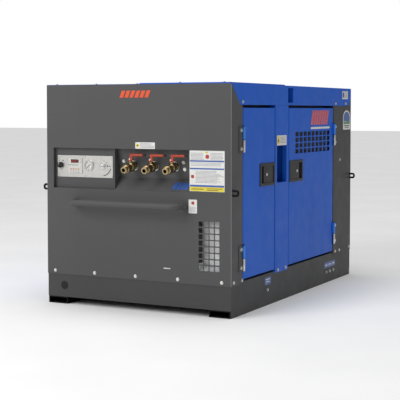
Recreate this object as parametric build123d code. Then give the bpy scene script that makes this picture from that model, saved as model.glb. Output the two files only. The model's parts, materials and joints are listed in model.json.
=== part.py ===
"""Engine driven screw air compressor in a sound proof enclosure, on a skid base.

Millimetres. +Z is up, +X is the right side seen from the front, the front faces -Y.
The pieces are drawn with Y counted back from the front panel's outer face, and save()
moves them so that the origin is at the bottom centre of the whole machine.
"""

from build123d import *
import math
import os

# ---- overall sizes -------------------------------------------------------------------
width = 1034.0  # over the side panels
length = 1640.0  # over the front and rear panels
height = 1100.0  # ground to the top of the front panel

# ---- sheet metal and fits ------------------------------------------------------------
sheet = 3.0  # skin of the enclosure
plate = 4.0  # skin of the base frame
door_gap = 3.0  # free gap around a door
bend = 4.0  # outer radius of a fold
running = 0.05  # radial clearance of a pin in its hole
free_fit = 0.3  # clearance between pieces that turn near each other

# ---- base ----------------------------------------------------------------------------
skid_height = 35.0
skid_width = 115.0
skid_wall = 5.0
base_height = 160.0
floor_z = 60.0
anchor_radius = 7.0
anchor_inset_y = 60.0  # anchor hole centre from the skid's end
front_drain = (421.0, 78.0)  # Y and Z of the plug under the front door
rear_drain_z = 60.0
rear_drain_insets = (393.0, 340.0, 283.0)  # counted from the rear
plug_hole = (-416.0, 94.0)  # X and Z of the cable hole in the base front
plug_hole_radius = 18.0
panel_bottom = 150.0  # the panels overlap the base frame down to here
bolt_line = 168.0  # height of the bolts that hold the panels to the base

# ---- enclosure, Y from the front face ------------------------------------------------
front_return = 122.0  # depth of the front panel's side return
rear_return = 295.0
flange_height = 100.0  # roof side flange
flange_slant = 100.0
rear_slant = 45.0
roof_rise = 1.5  # top of the roof above the front panel
cover_rise = 4.5  # service cover on the right half of the front roof
cover_left = 20.0
door_bottom = 170.0
door_head_gap = 13.0  # below the roof flange
door_depth = 24.0
door_bend = 9.0  # softer fold along the upright edges
pillar_front = 512.0
pillar_width = 170.0
pocket_z = (607.0, 798.0)
pocket_lip = 18.0
pocket_depth = 75.0
channel_front = 676.0  # rain channel between the roof sections
channel_width = 69.0
channel_depth = 76.0
eye_half_thickness = 9.0
eye_radius = 16.0  # takes a shackle pin

# ---- hinges --------------------------------------------------------------------------
hinge_proud = 7.0  # barrel centre outside the panel
barrel_radius = 5.5
hinge_pin_radius = 3.2
leaf_height = 124.0
leaf_width = 45.0
hinge_heights = (272.0, 836.0)

# ---- door latches --------------------------------------------------------------------
latch_width = 180.0
latch_height = 113.0
latch_z = 657.0
latch_inset = 9.0  # frame edge to the door's free edge
latch_rim = 14.0
latch_proud = 5.0
latch_pocket = 20.0
latch_wall = 2.5
paddle_length = 112.0
paddle_thickness = 4.0
paddle_pin_radius = 2.5

# ---- front recess, controls and air outlets ------------------------------------------
recess_left = -476.0
recess_right = 296.0
recess_bottom = 586.0
recess_top = 787.0
control_right = -117.0  # the control face ends here and the valve pocket starts
control_depth = 20.0
wall_top_depth = 30.0
wall_bottom_depth = 57.0
chin_top = 645.0
instrument_width = 325.0
instrument_height = 108.0
instrument_x = -301.0
instrument_z = 695.0
gauge_radius = 26.0
gauge_x = -275.0
gauge_z = 701.0
key_x = -196.0
key_z = 699.0
key_ring_radius = 15.0
knob_x = -444.0
knob_z = 700.0
knob_radius = 14.0
valve_count = 3
valve_pitch = 114.0
valve_first_x = -30.0
valve_z = 706.0  # where the valve's axis meets the pocket wall
valve_bore = 10.0
ball_radius = 17.0
valve_body_radius = 24.0
ball_reach = 34.0  # pocket wall to ball centre, along the valve
valve_reach = 62.0  # pocket wall to the valve's front end
outlet_reach = 108.0
coupling_bore = 9.5
lever_height = 59.0  # grip's middle above the valve's axis
lever_length = 84.0
grip_height = 12.0

# ---- outside fittings ----------------------------------------------------------------
rail_radius = 15.5
rail_reach = 75.0  # centre line in front of the panel
rail_left = -338.0
rail_right = 272.0
rail_z = 520.0
rail_bend = 45.0
hook_rod = 5.5
hook_half_gap = 11.0
hook_reach = 27.0
hook_z = 588.0
hook_inset = 17.0
bolt_radius = 7.0
bolt_head = 5.0
rear_bolt_reach = bolt_head

# ---- grilles -------------------------------------------------------------------------
intake_columns = 4
intake_rows = 8
intake_hole = 24.0
intake_pitch_x = 28.5
intake_pitch_z = 30.0
intake_x = 400.0
intake_z = 334.0
intake_depth = 57.0
door_grille_columns = 9
door_grille_rows = 4
door_grille_hole = (45.0, 24.0)
door_grille_pitch = (57.5, 30.0)
door_grille_y = 1029.0
door_grille_z = 804.0
outlet_columns = 10
outlet_rows = 12
outlet_hole = (40.0, 24.0)
outlet_pitch = (58.0, 36.0)
outlet_z = 610.0

# ---- engine and air end --------------------------------------------------------------
crank_z = 400.0
crank_radius = 30.0
block_front = 760.0
block_length = 440.0
block_half = 130.0
block_top = 560.0
manifold_top = 640.0  # top of the exhaust and inlet manifolds
crankcase_radius = 75.0
housing_front = 640.0  # flywheel housing
flywheel_radius = 150.0
pulley_y = 1216.0
belt_width = 14.0
crank_pulley = 70.0
fan_pulley = 55.0
alternator_pulley = 34.0
fan_z = 620.0
fan_radius = 225.0
fan_blades = 7
alternator_x = 205.0
alternator_z = 540.0
male_pitch_radius = 36.0
female_pitch_radius = 54.0
lobe_radius = 16.0
male_lobes = 4
female_flutes = 6
rotor_front = 390.0
rotor_length = 200.0
tank_x = 325.0
tank_y = 310.0
tank_radius = 135.0
tank_top = 600.0
muffler_x = -210.0
muffler_z = 880.0
muffler_radius = 75.0
exhaust_y = 1190.0
exhaust_radius = 30.0
filler_x = -330.0
filler_y = 300.0
filler_radius = 30.0
fuel_top = 420.0

# ---- worked out ----------------------------------------------------------------------
half = width / 2
inner = half - sheet  # inside face of the enclosure, outside face of the base
base_inner = inner - plate
rail_outer = rail_reach + rail_radius
front_y = (rail_outer - length - rear_bolt_reach) / 2
pillar_rear = pillar_front + pillar_width
front_door = (front_return + door_gap, pillar_front - door_gap)
rear_door = (pillar_rear + door_gap, length - rear_return - door_gap)
flange_bottom = height - flange_height
door_top = flange_bottom - door_head_gap
channel_top = flange_bottom + 13 + channel_depth
seam_y = channel_front + channel_width / 2
lifting_half = channel_width / 2 - 4.5  # half depth of the lifting posts and beam
eye_half_width = lifting_half - 2
roof_top = height + roof_rise
eye_z = channel_top - 34
wall_tilt = math.degrees(math.atan2(wall_bottom_depth - wall_top_depth, recess_top - chin_top))
wall_slope = math.tan(math.radians(wall_tilt))
valve_wall_y = wall_top_depth + (recess_top - valve_z) * wall_slope
valve_xs = [valve_first_x + number * valve_pitch for number in range(valve_count)]
floor_top = floor_z + sheet
drains = [front_drain] + [(length - inset, rear_drain_z) for inset in rear_drain_insets]


# ---- helpers -------------------------------------------------------------------------
UP = (Align.CENTER, Align.CENTER, Align.MIN)
CORNER = (Align.MIN, Align.MIN, Align.MIN)


def save(name, *solids):
    """Write one node, moved from front-face coordinates to the machine's origin."""
    moved = [solid for shape in solids for solid in (Pos(0, front_y, 0) * shape).solids()]
    export_step(Compound(label=name, children=moved), f"parts/{name}.step")


def block(x, y, z):
    """A box between three pairs of limits."""
    centre = Pos((x[0] + x[1]) / 2, (y[0] + y[1]) / 2, (z[0] + z[1]) / 2)
    return centre * Box(x[1] - x[0], y[1] - y[0], z[1] - z[0])


def grown(limits, extra):
    """A pair of limits moved apart by extra at each end."""
    return (limits[0] - extra, limits[1] + extra)


def rod_x(x, y, z, radius):
    return Pos((x[0] + x[1]) / 2, y, z) * Rot(0, 90, 0) * Cylinder(radius, x[1] - x[0])


def rod_y(x, y, z, radius):
    return Pos(x, (y[0] + y[1]) / 2, z) * Rot(90, 0, 0) * Cylinder(radius, y[1] - y[0])


def rod_z(x, y, z, radius):
    return Pos(x, y, (z[0] + z[1]) / 2) * Cylinder(radius, z[1] - z[0])


def mirrored(shape):
    """The same piece on the left side."""
    return mirror(shape, Plane.YZ)


def side_profile(points, x):
    """A flat shape in the side view, given thickness between two X limits."""
    face = Plane.YZ * make_face(Polyline(*points, close=True))
    return Pos(x[0], 0, 0) * extrude(face, x[1] - x[0], dir=(1, 0, 0))


def hole_grid(plane, columns, rows, hole, pitch, depth):
    """A grid of rounded rectangular holes, centred on the plane's origin."""
    corner = min(hole) / 6
    cells = GridLocations(pitch[0], pitch[1], columns, rows) * RectangleRounded(*hole, corner)
    return plane * extrude(Sketch() + cells, depth, both=True)


def hex_head(location, radius=bolt_radius, head=bolt_head):
    """Flanged hex bolt head standing on its location, with a short shank under it."""
    washer = extrude(Circle(radius * 1.25), head * 0.3)
    hexagon = extrude(RegularPolygon(radius, 6), head)
    return location * (washer + hexagon)


def front_at(x, z, y=0.0):
    """Location on a face that looks forwards."""
    return Location(Plane((x, y, z), x_dir=(1, 0, 0), z_dir=(0, -1, 0)))


def side_at(y, z, x=half):
    """Location on a face that looks to the right."""
    return Location(Plane((x, y, z), x_dir=(0, 1, 0), z_dir=(1, 0, 0)))


# ---- base ----------------------------------------------------------------------------
def make_skids():
    skid_outer = base_inner
    skid_inner = skid_outer - skid_width + plate
    tube = block((skid_inner, skid_outer), (sheet, length - sheet), (0, skid_height))
    hollow = block(
        (skid_inner + skid_wall, skid_outer - skid_wall),
        (0, length),
        (skid_wall, skid_height - skid_wall),
    )
    tube -= hollow
    middle = (skid_inner + skid_outer) / 2
    for y in (anchor_inset_y, length - anchor_inset_y):
        tube -= rod_z(middle, y, (-1, skid_wall + 1), anchor_radius)
    beams = []
    for y in (250.0, 640.0, 1030.0, 1400.0):
        beams.append(block((-base_inner, base_inner), (y, y + 60), (skid_height, floor_z)))
    save("skids", tube, mirrored(tube), *beams)


def make_base_frame():
    side = block((base_inner, inner), (sheet + plate, length - sheet - plate), (0, base_height))
    sill = block(
        (inner - 40, base_inner),
        (sheet + plate, length - sheet - plate),
        (base_height - plate, base_height),
    )
    side += sill
    for y, z in drains:
        side -= rod_x((base_inner - 5, inner + 5), y, z, 6)
    front = block((-inner, inner), (sheet, sheet + plate), (skid_height, base_height))
    front += block(
        (-inner + 40, inner - 40), (sheet, sheet + 45), (base_height - plate, base_height)
    )
    front -= rod_y(plug_hole[0], (0, sheet + plate + 1), plug_hole[1], plug_hole_radius)
    rear = block(
        (-inner, inner), (length - sheet - plate, length - sheet), (skid_height, base_height)
    )
    rear += block(
        (-inner + 40, inner - 40),
        (length - sheet - 45, length - sheet),
        (base_height - plate, base_height),
    )
    save("base_frame", side, mirrored(side), front, rear)


def make_floor():
    pan = block(
        (-base_inner, base_inner), (sheet + plate, length - sheet - plate), (floor_z, floor_top)
    )
    for x in (-250.0, 250.0):
        pan -= rod_z(x, 600, (floor_z - 1, floor_top + 1), 20)
    save("base_floor", pan)


# ---- enclosure -----------------------------------------------------------------------
def intake_holes():
    plane = Plane((intake_x, 0, intake_z), x_dir=(1, 0, 0), z_dir=(0, -1, 0))
    hole = (intake_hole, intake_hole)
    pitch = (intake_pitch_x, intake_pitch_z)
    return hole_grid(plane, intake_columns, intake_rows, hole, pitch, sheet * 2)


def make_front_panel():
    shell = block((-half, half), (0, front_return), (panel_bottom, height))
    corners = shell.edges().filter_by(Axis.Z).group_by(Axis.Y)[0]
    shell = fillet(corners, bend)
    shell -= block((-inner, inner), (sheet, length), (0, roof_top - 2 * sheet))
    shell -= block((-half - 1, half + 1), (sheet, length), (roof_top - sheet, height + 1))
    shell -= block((-inner, inner), (40, length), (0, height + 1))
    jamb = block(
        (inner - 30, inner), (front_return - sheet, front_return), (base_height, flange_bottom - 2)
    )
    slant = side_profile(
        [
            (-2, height + 1),
            (flange_slant - 1, flange_bottom - 1),
            (front_return + 1, flange_bottom - 1),
            (front_return + 1, height + 1),
        ],
        (inner, half + 1),
    )
    shell = shell - slant - mirrored(slant) + jamb + mirrored(jamb)
    shell -= block((recess_left, recess_right), (-1, sheet + 1), (recess_bottom, recess_top))
    shell -= intake_holes()
    shell -= block((155, 194), (-1, sheet + 1), (214, 220))
    save("front_panel", shell)


def make_rear_panel():
    front_edge = length - rear_return
    shell = block((-half, half), (front_edge, length), (panel_bottom, height))
    corners = shell.edges().filter_by(Axis.Z).group_by(Axis.Y)[-1]
    shell = fillet(corners, bend)
    shell -= block((-inner, inner), (0, length - sheet), (0, roof_top - 2 * sheet))
    shell -= block((-half - 1, half + 1), (0, length - sheet), (roof_top - sheet, height + 1))
    shell -= block((-inner, inner), (0, length - 40), (0, height + 1))
    jamb = block(
        (inner - 30, inner), (front_edge, front_edge + sheet), (base_height, flange_bottom - 2)
    )
    slant = side_profile(
        [
            (front_edge - 1, flange_bottom - 1),
            (length - rear_slant, flange_bottom - 1),
            (length + 1, flange_bottom + rear_slant),
            (length + 1, height + 1),
            (front_edge - 1, height + 1),
        ],
        (inner, half + 1),
    )
    shell = shell - slant - mirrored(slant) + jamb + mirrored(jamb)
    plane = Plane((0, length, outlet_z), x_dir=(-1, 0, 0), z_dir=(0, 1, 0))
    shell -= hole_grid(plane, outlet_columns, outlet_rows, outlet_hole, outlet_pitch, sheet * 2)
    save("rear_panel", shell)


def channel_window():
    """Cut through both side flanges at the ends of the rain channel."""
    return block(
        (-half - 1, half + 1),
        (channel_front, channel_front + channel_width),
        (channel_top - channel_depth, channel_top),
    )


def lift_hatch():
    """Cut in the roof over the lifting eye."""
    return block(
        (-75, 75), (channel_front, channel_front + channel_width), (channel_top - 1, height + 20)
    )


def make_roof_front():
    top = block((-half, half), (sheet, seam_y - 0.5), (flange_bottom, roof_top))
    top = fillet(top.edges().filter_by(Axis.Y).group_by(Axis.Z)[-1], bend)
    top -= block((-inner, inner), (-1, length), (0, roof_top - sheet))
    slant = side_profile(
        [(-1, 0), (flange_slant, 0), (flange_slant, flange_bottom), (0, height), (-1, height)],
        (-half - 1, half + 1),
    )
    cover = block((cover_left, half - 12), (8, channel_front - 16), (roof_top, roof_top + cover_rise))
    cover = fillet(cover.edges().group_by(Axis.Z)[-1], cover_rise / 2)
    top = top - slant - channel_window() - lift_hatch() + cover
    save("roof_front", top)


def make_roof_rear():
    top = block((-half, half), (seam_y + 0.5, length - sheet), (flange_bottom, roof_top))
    top = fillet(top.edges().filter_by(Axis.Y).group_by(Axis.Z)[-1], bend)
    top -= block((-inner, inner), (0, length + 1), (0, roof_top - sheet))
    slant = side_profile(
        [
            (length - rear_slant - 1, flange_bottom - 1),
            (length + 2, flange_bottom - 1),
            (length + 2, flange_bottom + rear_slant + 2),
        ],
        (-half - 1, half + 1),
    )
    top = top - slant - channel_window() - lift_hatch()
    top -= rod_z(muffler_x, exhaust_y, (height - 10, height + 10), exhaust_radius + 8)
    save("roof_rear", top)


def make_roof_channel():
    wall = 2.0
    outer = block(
        (-inner, inner),
        (channel_front, channel_front + channel_width),
        (channel_top - channel_depth, channel_top),
    )
    inside = block(
        (-half, half),
        (channel_front + wall, channel_front + channel_width - wall),
        (channel_top - channel_depth + wall, height),
    )
    middle = channel_front + channel_width / 2
    slot = block(
        (-eye_half_thickness - 1, eye_half_thickness + 1),
        (middle - eye_half_width - 1, middle + eye_half_width + 1),
        (channel_top - channel_depth - 1, channel_top),
    )
    save("roof_channel", outer - inside - slot)


def make_lifting_frame():
    """Two posts, a cross beam, the lifting eye and the rails that carry the roof."""
    middle = channel_front + channel_width / 2
    y = (middle - lifting_half, middle + lifting_half)
    beam_top = channel_top - channel_depth - 1
    beam = block((-inner + 45, inner - 45), y, (beam_top - 60, beam_top))
    post = block((inner - 105, inner - 45), y, (floor_top, beam_top - 60))
    eye = block(
        (-eye_half_thickness, eye_half_thickness),
        (middle - eye_half_width, middle + eye_half_width),
        (beam_top, eye_z + eye_half_width),
    )
    eye = fillet(eye.edges().filter_by(Axis.X).group_by(Axis.Z)[-1], eye_half_width - 2)
    eye -= rod_x((-20, 20), middle, eye_z, eye_radius)
    rail_y = (front_return + 3, length - rear_return)
    cantrail = block((inner - 45, inner - 5), rail_y, (flange_bottom + 3, flange_bottom + 11))
    cantrail += block((inner - 45, inner - 40), rail_y, (flange_bottom - 40, flange_bottom + 3))
    save("lifting_frame", beam + post + mirrored(post) + eye, cantrail, mirrored(cantrail))


def make_centre_pillar():
    wall = 2.0
    skin = block((inner, half), (pillar_front, pillar_rear), (panel_bottom, flange_bottom - 1))
    skin = fillet(skin.edges().filter_by(Axis.Z).group_by(Axis.X)[-1], 2)
    jamb_z = (base_height, flange_bottom - 2)
    jamb = block((inner - 36, inner), (pillar_front, pillar_front + sheet), jamb_z)
    jamb += block((inner - 36, inner), (pillar_rear - sheet, pillar_rear), jamb_z)
    slot_y = (pillar_front + 21, pillar_rear - 25)
    cavity_y = (pillar_front + 5, pillar_rear - 5)
    lip = block((inner - pocket_lip, inner), grown(slot_y, wall), grown(pocket_z, wall))
    behind = (inner - pocket_depth, inner - pocket_lip)
    cavity = block(behind, grown(cavity_y, -0.5), grown(pocket_z, 14))
    cavity -= block((behind[0] + wall, behind[1] - wall), grown(cavity_y, -wall), grown(pocket_z, 12))
    slot = block((behind[1] - wall - 1, half + 1), slot_y, pocket_z)
    pillar = skin + jamb + lip + cavity - slot
    save("centre_pillar_right", pillar)
    save("centre_pillar_left", mirrored(pillar))


def make_intake_baffle():
    """Galvanised duct that turns the cooling air upwards behind the intake holes."""
    x = (intake_x - 63, intake_x + 63)
    z = (intake_z - 128, intake_z + 140)
    wall = 1.5
    duct = block(x, (sheet, intake_depth), z)
    duct -= block((x[0] + wall, x[1] - wall), (0, intake_depth - wall), (z[0] + wall, z[1] + 5))
    ramp = side_profile([(sheet, z[0]), (intake_depth, z[0]), (intake_depth, z[0] + 40)], x)
    save("intake_baffle", duct + ramp)


# ---- front recess --------------------------------------------------------------------
def make_control_housing():
    """Shallow box with the control face, and the electrical box behind it."""
    x = (recess_left, control_right)
    z = (recess_bottom, recess_top)
    depth = (sheet, 150.0)
    box = block((x[0] - sheet, x[1]), depth, (z[0] - sheet, z[1] + sheet))
    box -= block((x[0], x[1] - sheet), (0, control_depth), z)
    box -= block((x[0], x[1] - sheet), (control_depth + sheet, 150 - sheet), z)
    box -= rod_y(gauge_x, (0, 40), gauge_z, gauge_radius - 4)
    box -= rod_y(key_x, (0, 40), key_z, 11)
    box -= rod_y(knob_x, (0, 40), knob_z, 5)
    save("control_housing", box)


def make_valve_pocket():
    x = (control_right, recess_right + sheet)
    outline = [
        (sheet, recess_top + sheet),
        (wall_top_depth + sheet, recess_top + sheet),
        (wall_bottom_depth + sheet, chin_top - 2),
        (sheet, recess_bottom - sheet),
    ]
    opening = [
        (0, recess_top),
        (wall_top_depth, recess_top),
        (wall_bottom_depth, chin_top),
        (sheet, recess_bottom),
        (0, recess_bottom),
    ]
    shell = side_profile(outline, x) - side_profile(opening, (x[0] - 1, x[1] - sheet))
    for valve_x in valve_xs:
        shell -= Pos(valve_x, valve_wall_y, valve_z) * Rot(90 + wall_tilt, 0, 0) * Cylinder(14, 30)
    save("valve_pocket", shell)


def make_instrument_plate():
    x = (instrument_x - instrument_width / 2, instrument_x + instrument_width / 2)
    z = (instrument_z - instrument_height / 2, instrument_z + instrument_height / 2)
    panel = block(x, (control_depth - 1.5, control_depth), z)
    panel -= rod_y(gauge_x, (0, 40), gauge_z, gauge_radius - 4)
    panel -= rod_y(key_x, (0, 40), key_z, 11)
    panel -= rod_y(knob_x, (0, 40), knob_z, 5)
    screw = (control_depth - 3.5, control_depth - 1.5)
    for screw_x in (x[0] + 6, instrument_x, x[1] - 6):
        for screw_z in (z[0] + 6, z[1] - 6):
            panel += rod_y(screw_x, screw, screw_z, 4)
    save("instrument_plate", panel)


def make_status_display():
    """Frame of the hour and fault display, with its lamps."""
    face = control_depth - 1.5
    frame = block((-402, -316), (face - 2, face), (658, 737))
    window = block((-383, -337), (face - 3, face - 1), (712, 729))
    lamps = []
    for number in range(4):
        lamps.append(rod_y(-383 + number * 15, (face - 4, face - 2), 681, 2.5))
    save("status_display", frame - window, *lamps)


def make_gauge():
    face = control_depth - 1.5
    case = rod_y(gauge_x, (face - 6, face), gauge_z, gauge_radius)
    case += rod_y(gauge_x, (face, 60), gauge_z, gauge_radius - 5)
    case += rod_y(gauge_x, (60, 80), gauge_z, 7)
    case -= rod_y(gauge_x, (0, face - 1), gauge_z, gauge_radius - 4)
    case += rod_y(gauge_x, (face - 2.5, face), gauge_z, 1.5)
    save("gauge_case", case)
    hub = rod_y(gauge_x, (face - 3.5, face - 2.6), gauge_z, 2.5)
    reach = 15.0
    pointer = block((-0.8, 0.8), (face - 3.4, face - 2.8), (-5, reach))
    save("gauge_needle", hub + Pos(gauge_x, 0, gauge_z) * Rot(0, -135, 0) * pointer)


def make_key_switch():
    face = control_depth - 1.5
    switch = rod_y(key_x, (face - 4, face), key_z, key_ring_radius)
    switch += rod_y(key_x, (face, 62), key_z, 10)
    switch -= rod_y(key_x, (face - 5, face + 12), key_z, 7 + free_fit)
    save("starter_switch", switch)
    key = rod_y(key_x, (face - 5, face + 11), key_z, 7)
    bow = block((key_x - 9, key_x + 9), (face - 30, face - 8), (key_z - 1.25, key_z + 1.25))
    blade = block((key_x - 3, key_x + 3), (face - 9, face), (key_z - 1.25, key_z + 1.25))
    save("starter_key", key + bow + blade)
    knob = rod_y(knob_x, (face - 14, face - 0.5), knob_z, knob_radius)
    grip = block(
        (knob_x - 3, knob_x + 3), (face - 20, face - 13), (knob_z - knob_radius + 1, knob_z + 13)
    )
    save("selector_knob", knob + grip + rod_y(knob_x, (face - 1, 45), knob_z, 4))


# ---- air outlets ---------------------------------------------------------------------
def along_valve(x, distance):
    """Place on a valve's axis, its own Z pointing out of the pocket wall."""
    return Pos(x, valve_wall_y, valve_z) * Rot(90 + wall_tilt, 0, 0) * Pos(0, 0, distance)


def make_valve_body(x):
    hexagon = Pos(0, 0, 2) * extrude(RegularPolygon(20, 6), 14)
    neck = Pos(0, 0, 10) * extrude(Circle(17), valve_reach - 14)
    globe = Pos(0, 0, ball_reach) * Sphere(valve_body_radius)
    front_hex = Pos(0, 0, valve_reach - 10) * extrude(RegularPolygon(20, 6), 10)
    boss = Pos(0, 0, ball_reach) * Rot(-90, 0, 0) * Pos(0, 0, 15) * Cylinder(9, 15, align=UP)
    body = hexagon + neck + globe + front_hex + boss
    body -= Pos(0, 0, ball_reach) * Sphere(ball_radius + free_fit)
    body -= Cylinder(valve_bore, 400)
    stem_hole = Cylinder(5 + free_fit, 60, align=UP)
    body -= Pos(0, 0, ball_reach) * Rot(-90, 0, 0) * stem_hole
    return along_valve(x, 0) * body


def make_coupling(x):
    """Hose coupling screwed into the valve's front end."""
    start = valve_reach + free_fit
    body = Pos(0, 0, start) * Cylinder(15, outlet_reach - start, align=UP)
    collar = Pos(0, 0, start + 4) * Cylinder(22, 26, align=UP)
    collar = fillet(collar.edges(), 8)
    lip = Pos(0, 0, outlet_reach - 12) * Cylinder(18, 10, align=UP)
    lip = fillet(lip.edges(), 3)
    body = body + collar + lip - Cylinder(coupling_bore, 400)
    return along_valve(x, 0) * body


def make_valve_lever(x):
    """Lever, stem and ball turn together about the stem."""
    strap_z = 32.0
    strap_left = -9.0
    grip_left = 2.0
    tip_length = 12.0
    grip_top = lever_height + grip_height / 2
    grip_length = lever_length - tip_length
    stem = Pos(0, 0, 10) * Cylinder(5, strap_z - 4, align=UP)
    nut = Pos(0, 0, strap_z + 4) * extrude(RegularPolygon(8, 6), 5)
    strap = Pos(strap_left, -9, strap_z) * Box(grip_left + 13 - strap_left, 18, 4, align=CORNER)
    riser = Pos(grip_left, -8, strap_z) * Box(13, 5, grip_top - strap_z, align=CORNER)
    grip = Pos(grip_left, -8, grip_top - grip_height) * Box(grip_length, 16, grip_height, align=CORNER)
    grip = fillet(grip.edges().filter_by(Axis.X), 4.5)
    tip_left = grip_left + grip_length - 1
    tip = Pos(tip_left, -5, lever_height - 4) * Box(tip_length + 1, 10, 8, align=CORNER)
    ball = Sphere(ball_radius) - Rot(90, 0, 0) * Cylinder(valve_bore, 80)
    lever = stem + nut + strap + riser + grip + tip + ball
    return along_valve(x, ball_reach) * Rot(-90, 0, 0) * lever


def make_air_outlets():
    save("air_valves", *[make_valve_body(x) for x in valve_xs])
    save("hose_couplings", *[make_coupling(x) for x in valve_xs])
    for number, x in enumerate(valve_xs, start=1):
        save(f"valve_lever_{number}", make_valve_lever(x))


def make_air_manifold():
    """Header pipe behind the pocket, its stubs, and the line from the receiver."""
    header_y = valve_wall_y + 60
    header_z = valve_z + 60 * wall_slope
    right = tank_x
    pipe = rod_x((valve_xs[0] - 40, right), header_y, header_z, 19)
    for x in valve_xs:
        pipe += along_valve(x, 1.5) * Rot(180, 0, 0) * Cylinder(12, 60, align=UP)
    pipe += Pos(right, header_y, header_z) * Sphere(19)
    pipe += rod_y(right, (header_y, tank_y), header_z, 19)
    pipe += Pos(right, tank_y, header_z) * Sphere(19)
    pipe += rod_z(right, tank_y, (tank_top + 45, header_z), 19)
    save("air_manifold", pipe)


# ---- outside fittings ----------------------------------------------------------------
def make_grab_rail():
    path = FilletPolyline(
        (rail_left, 0.0, rail_z),
        (rail_left, -rail_reach, rail_z),
        (rail_right, -rail_reach, rail_z),
        (rail_right, 0.0, rail_z),
        radius=rail_bend,
    )
    section = Plane((rail_left, 0, rail_z), z_dir=(0, -1, 0)) * Circle(rail_radius)
    save("grab_rail", sweep(section, path=path))


def make_hook(y):
    reach = half + hook_reach
    path = FilletPolyline(
        (half, y, hook_z - hook_half_gap),
        (reach, y, hook_z - hook_half_gap),
        (reach, y, hook_z + hook_half_gap),
        (half, y, hook_z + hook_half_gap),
        radius=hook_half_gap - 2,
    )
    start = Plane((half, y, hook_z - hook_half_gap), z_dir=(1, 0, 0))
    return sweep(start * Circle(hook_rod), path=path)


def make_rope_hooks():
    hooks = [make_hook(y) for y in (hook_inset, length - hook_inset)]
    save("rope_hooks", *hooks, *[mirrored(hook) for hook in hooks])


def bolt_seat(x):
    """Height of the roof under a bolt: the service cover lies under those on the right."""
    return roof_top + (cover_rise if x > cover_left else 0)


def make_bolts():
    """Every fastener that shows on the outside, and the drain plugs in the base."""
    heads = []
    for number in range(-2, 3):
        x = number * (half - 49) / 2
        heads.append(hex_head(front_at(x, bolt_line)))
        heads.append(hex_head(Location((x, 20, bolt_seat(x))), bolt_radius, 4))
        heads.append(hex_head(Rot(0, 0, 180) * front_at(x, bolt_line, -length)))
    side_bolts = [
        (23, bolt_line),
        (113, bolt_line),
        (pillar_front + 32, 163),
        (pillar_rear - 38, 163),
        (length - rear_return + 33, 165),
        (length - 194, 165),
        (length - 28, 167),
        (121, flange_bottom + 15),
        (length - 265, flange_bottom + 12),
        (length - 99, flange_bottom + 13),
        (length - 196, 690),
    ]
    for hinge_z in hinge_heights:
        for offset in (-leaf_height / 2 + 18, leaf_height / 2 - 18):
            side_bolts.append((front_return - 22, hinge_z + offset))
            side_bolts.append((length - rear_return + 22, hinge_z + offset))
    for y, z in side_bolts:
        on_leaf = any(abs(z - hinge_z) < leaf_height / 2 for hinge_z in hinge_heights)
        head = hex_head(side_at(y, z, half + (sheet if on_leaf else 0)))
        heads.append(head)
        heads.append(mirrored(head))
    for y, z in drains:
        plug = hex_head(side_at(y, z, inner), 6.5, 6)
        heads.append(plug)
        heads.append(mirrored(plug))
    for x in (-89.0, 243.0):
        tilt = Pos(x, wall_top_depth + (recess_top - 725) * wall_slope, 725)
        heads.append(tilt * Rot(90 + wall_tilt, 0, 0) * hex_head(Location()))
    tilt = Pos(247, wall_top_depth + (recess_top - 692) * wall_slope, 692)
    heads.append(tilt * Rot(90 + wall_tilt, 0, 0) * hex_head(Location()))
    save("enclosure_bolts", *heads)


# ---- hinges and doors ----------------------------------------------------------------
def make_hinge_leaf(hinge_z, edge_y, outward):
    """Leaf bolted to the post, with the lower knuckle and the pin. outward is +1 where
    the post is in front of the door and -1 where it is behind."""
    bottom = hinge_z - leaf_height / 2
    top = hinge_z + leaf_height / 2
    x = half + hinge_proud
    near = edge_y - outward * (barrel_radius + 1.5)
    far = edge_y - outward * leaf_width
    leaf = block((half, half + sheet), sorted((near, far)), (bottom, top))
    lower = block((half, half + sheet), sorted((near, edge_y)), (bottom, hinge_z))
    knuckle = rod_z(x, edge_y, (bottom, hinge_z), barrel_radius)
    pin = rod_z(x, edge_y, (hinge_z - 1, top - 1), hinge_pin_radius)
    return leaf + lower + knuckle + pin


def make_hinges():
    front_edge = front_return + door_gap / 2
    rear_edge = length - rear_return - door_gap / 2
    leaves = []
    for hinge_z in hinge_heights:
        for leaf in (
            make_hinge_leaf(hinge_z, front_edge, 1),
            make_hinge_leaf(hinge_z, rear_edge, -1),
        ):
            leaves.append(leaf)
            leaves.append(mirrored(leaf))
    save("hinge_leaves", *leaves)


def door_knuckle(hinge_z, edge_y, inward):
    """Upper half of a lift-off hinge, welded to the door's skin."""
    x = half + hinge_proud
    z = (hinge_z + 0.5, hinge_z + leaf_height / 2)
    tab = block((half - 1, half + sheet), sorted((edge_y + inward * 2.5, edge_y + inward * 22)), z)
    barrel = rod_z(x, edge_y, z, barrel_radius)
    bridge = block((half + 1.6, half + sheet + 2), sorted((edge_y, edge_y + inward * 8)), z)
    return tab + barrel + bridge - rod_z(x, edge_y, (0, height), hinge_pin_radius + running)


def latch_centre(free_edge, inward):
    return free_edge + inward * (latch_inset + latch_width / 2)


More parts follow.
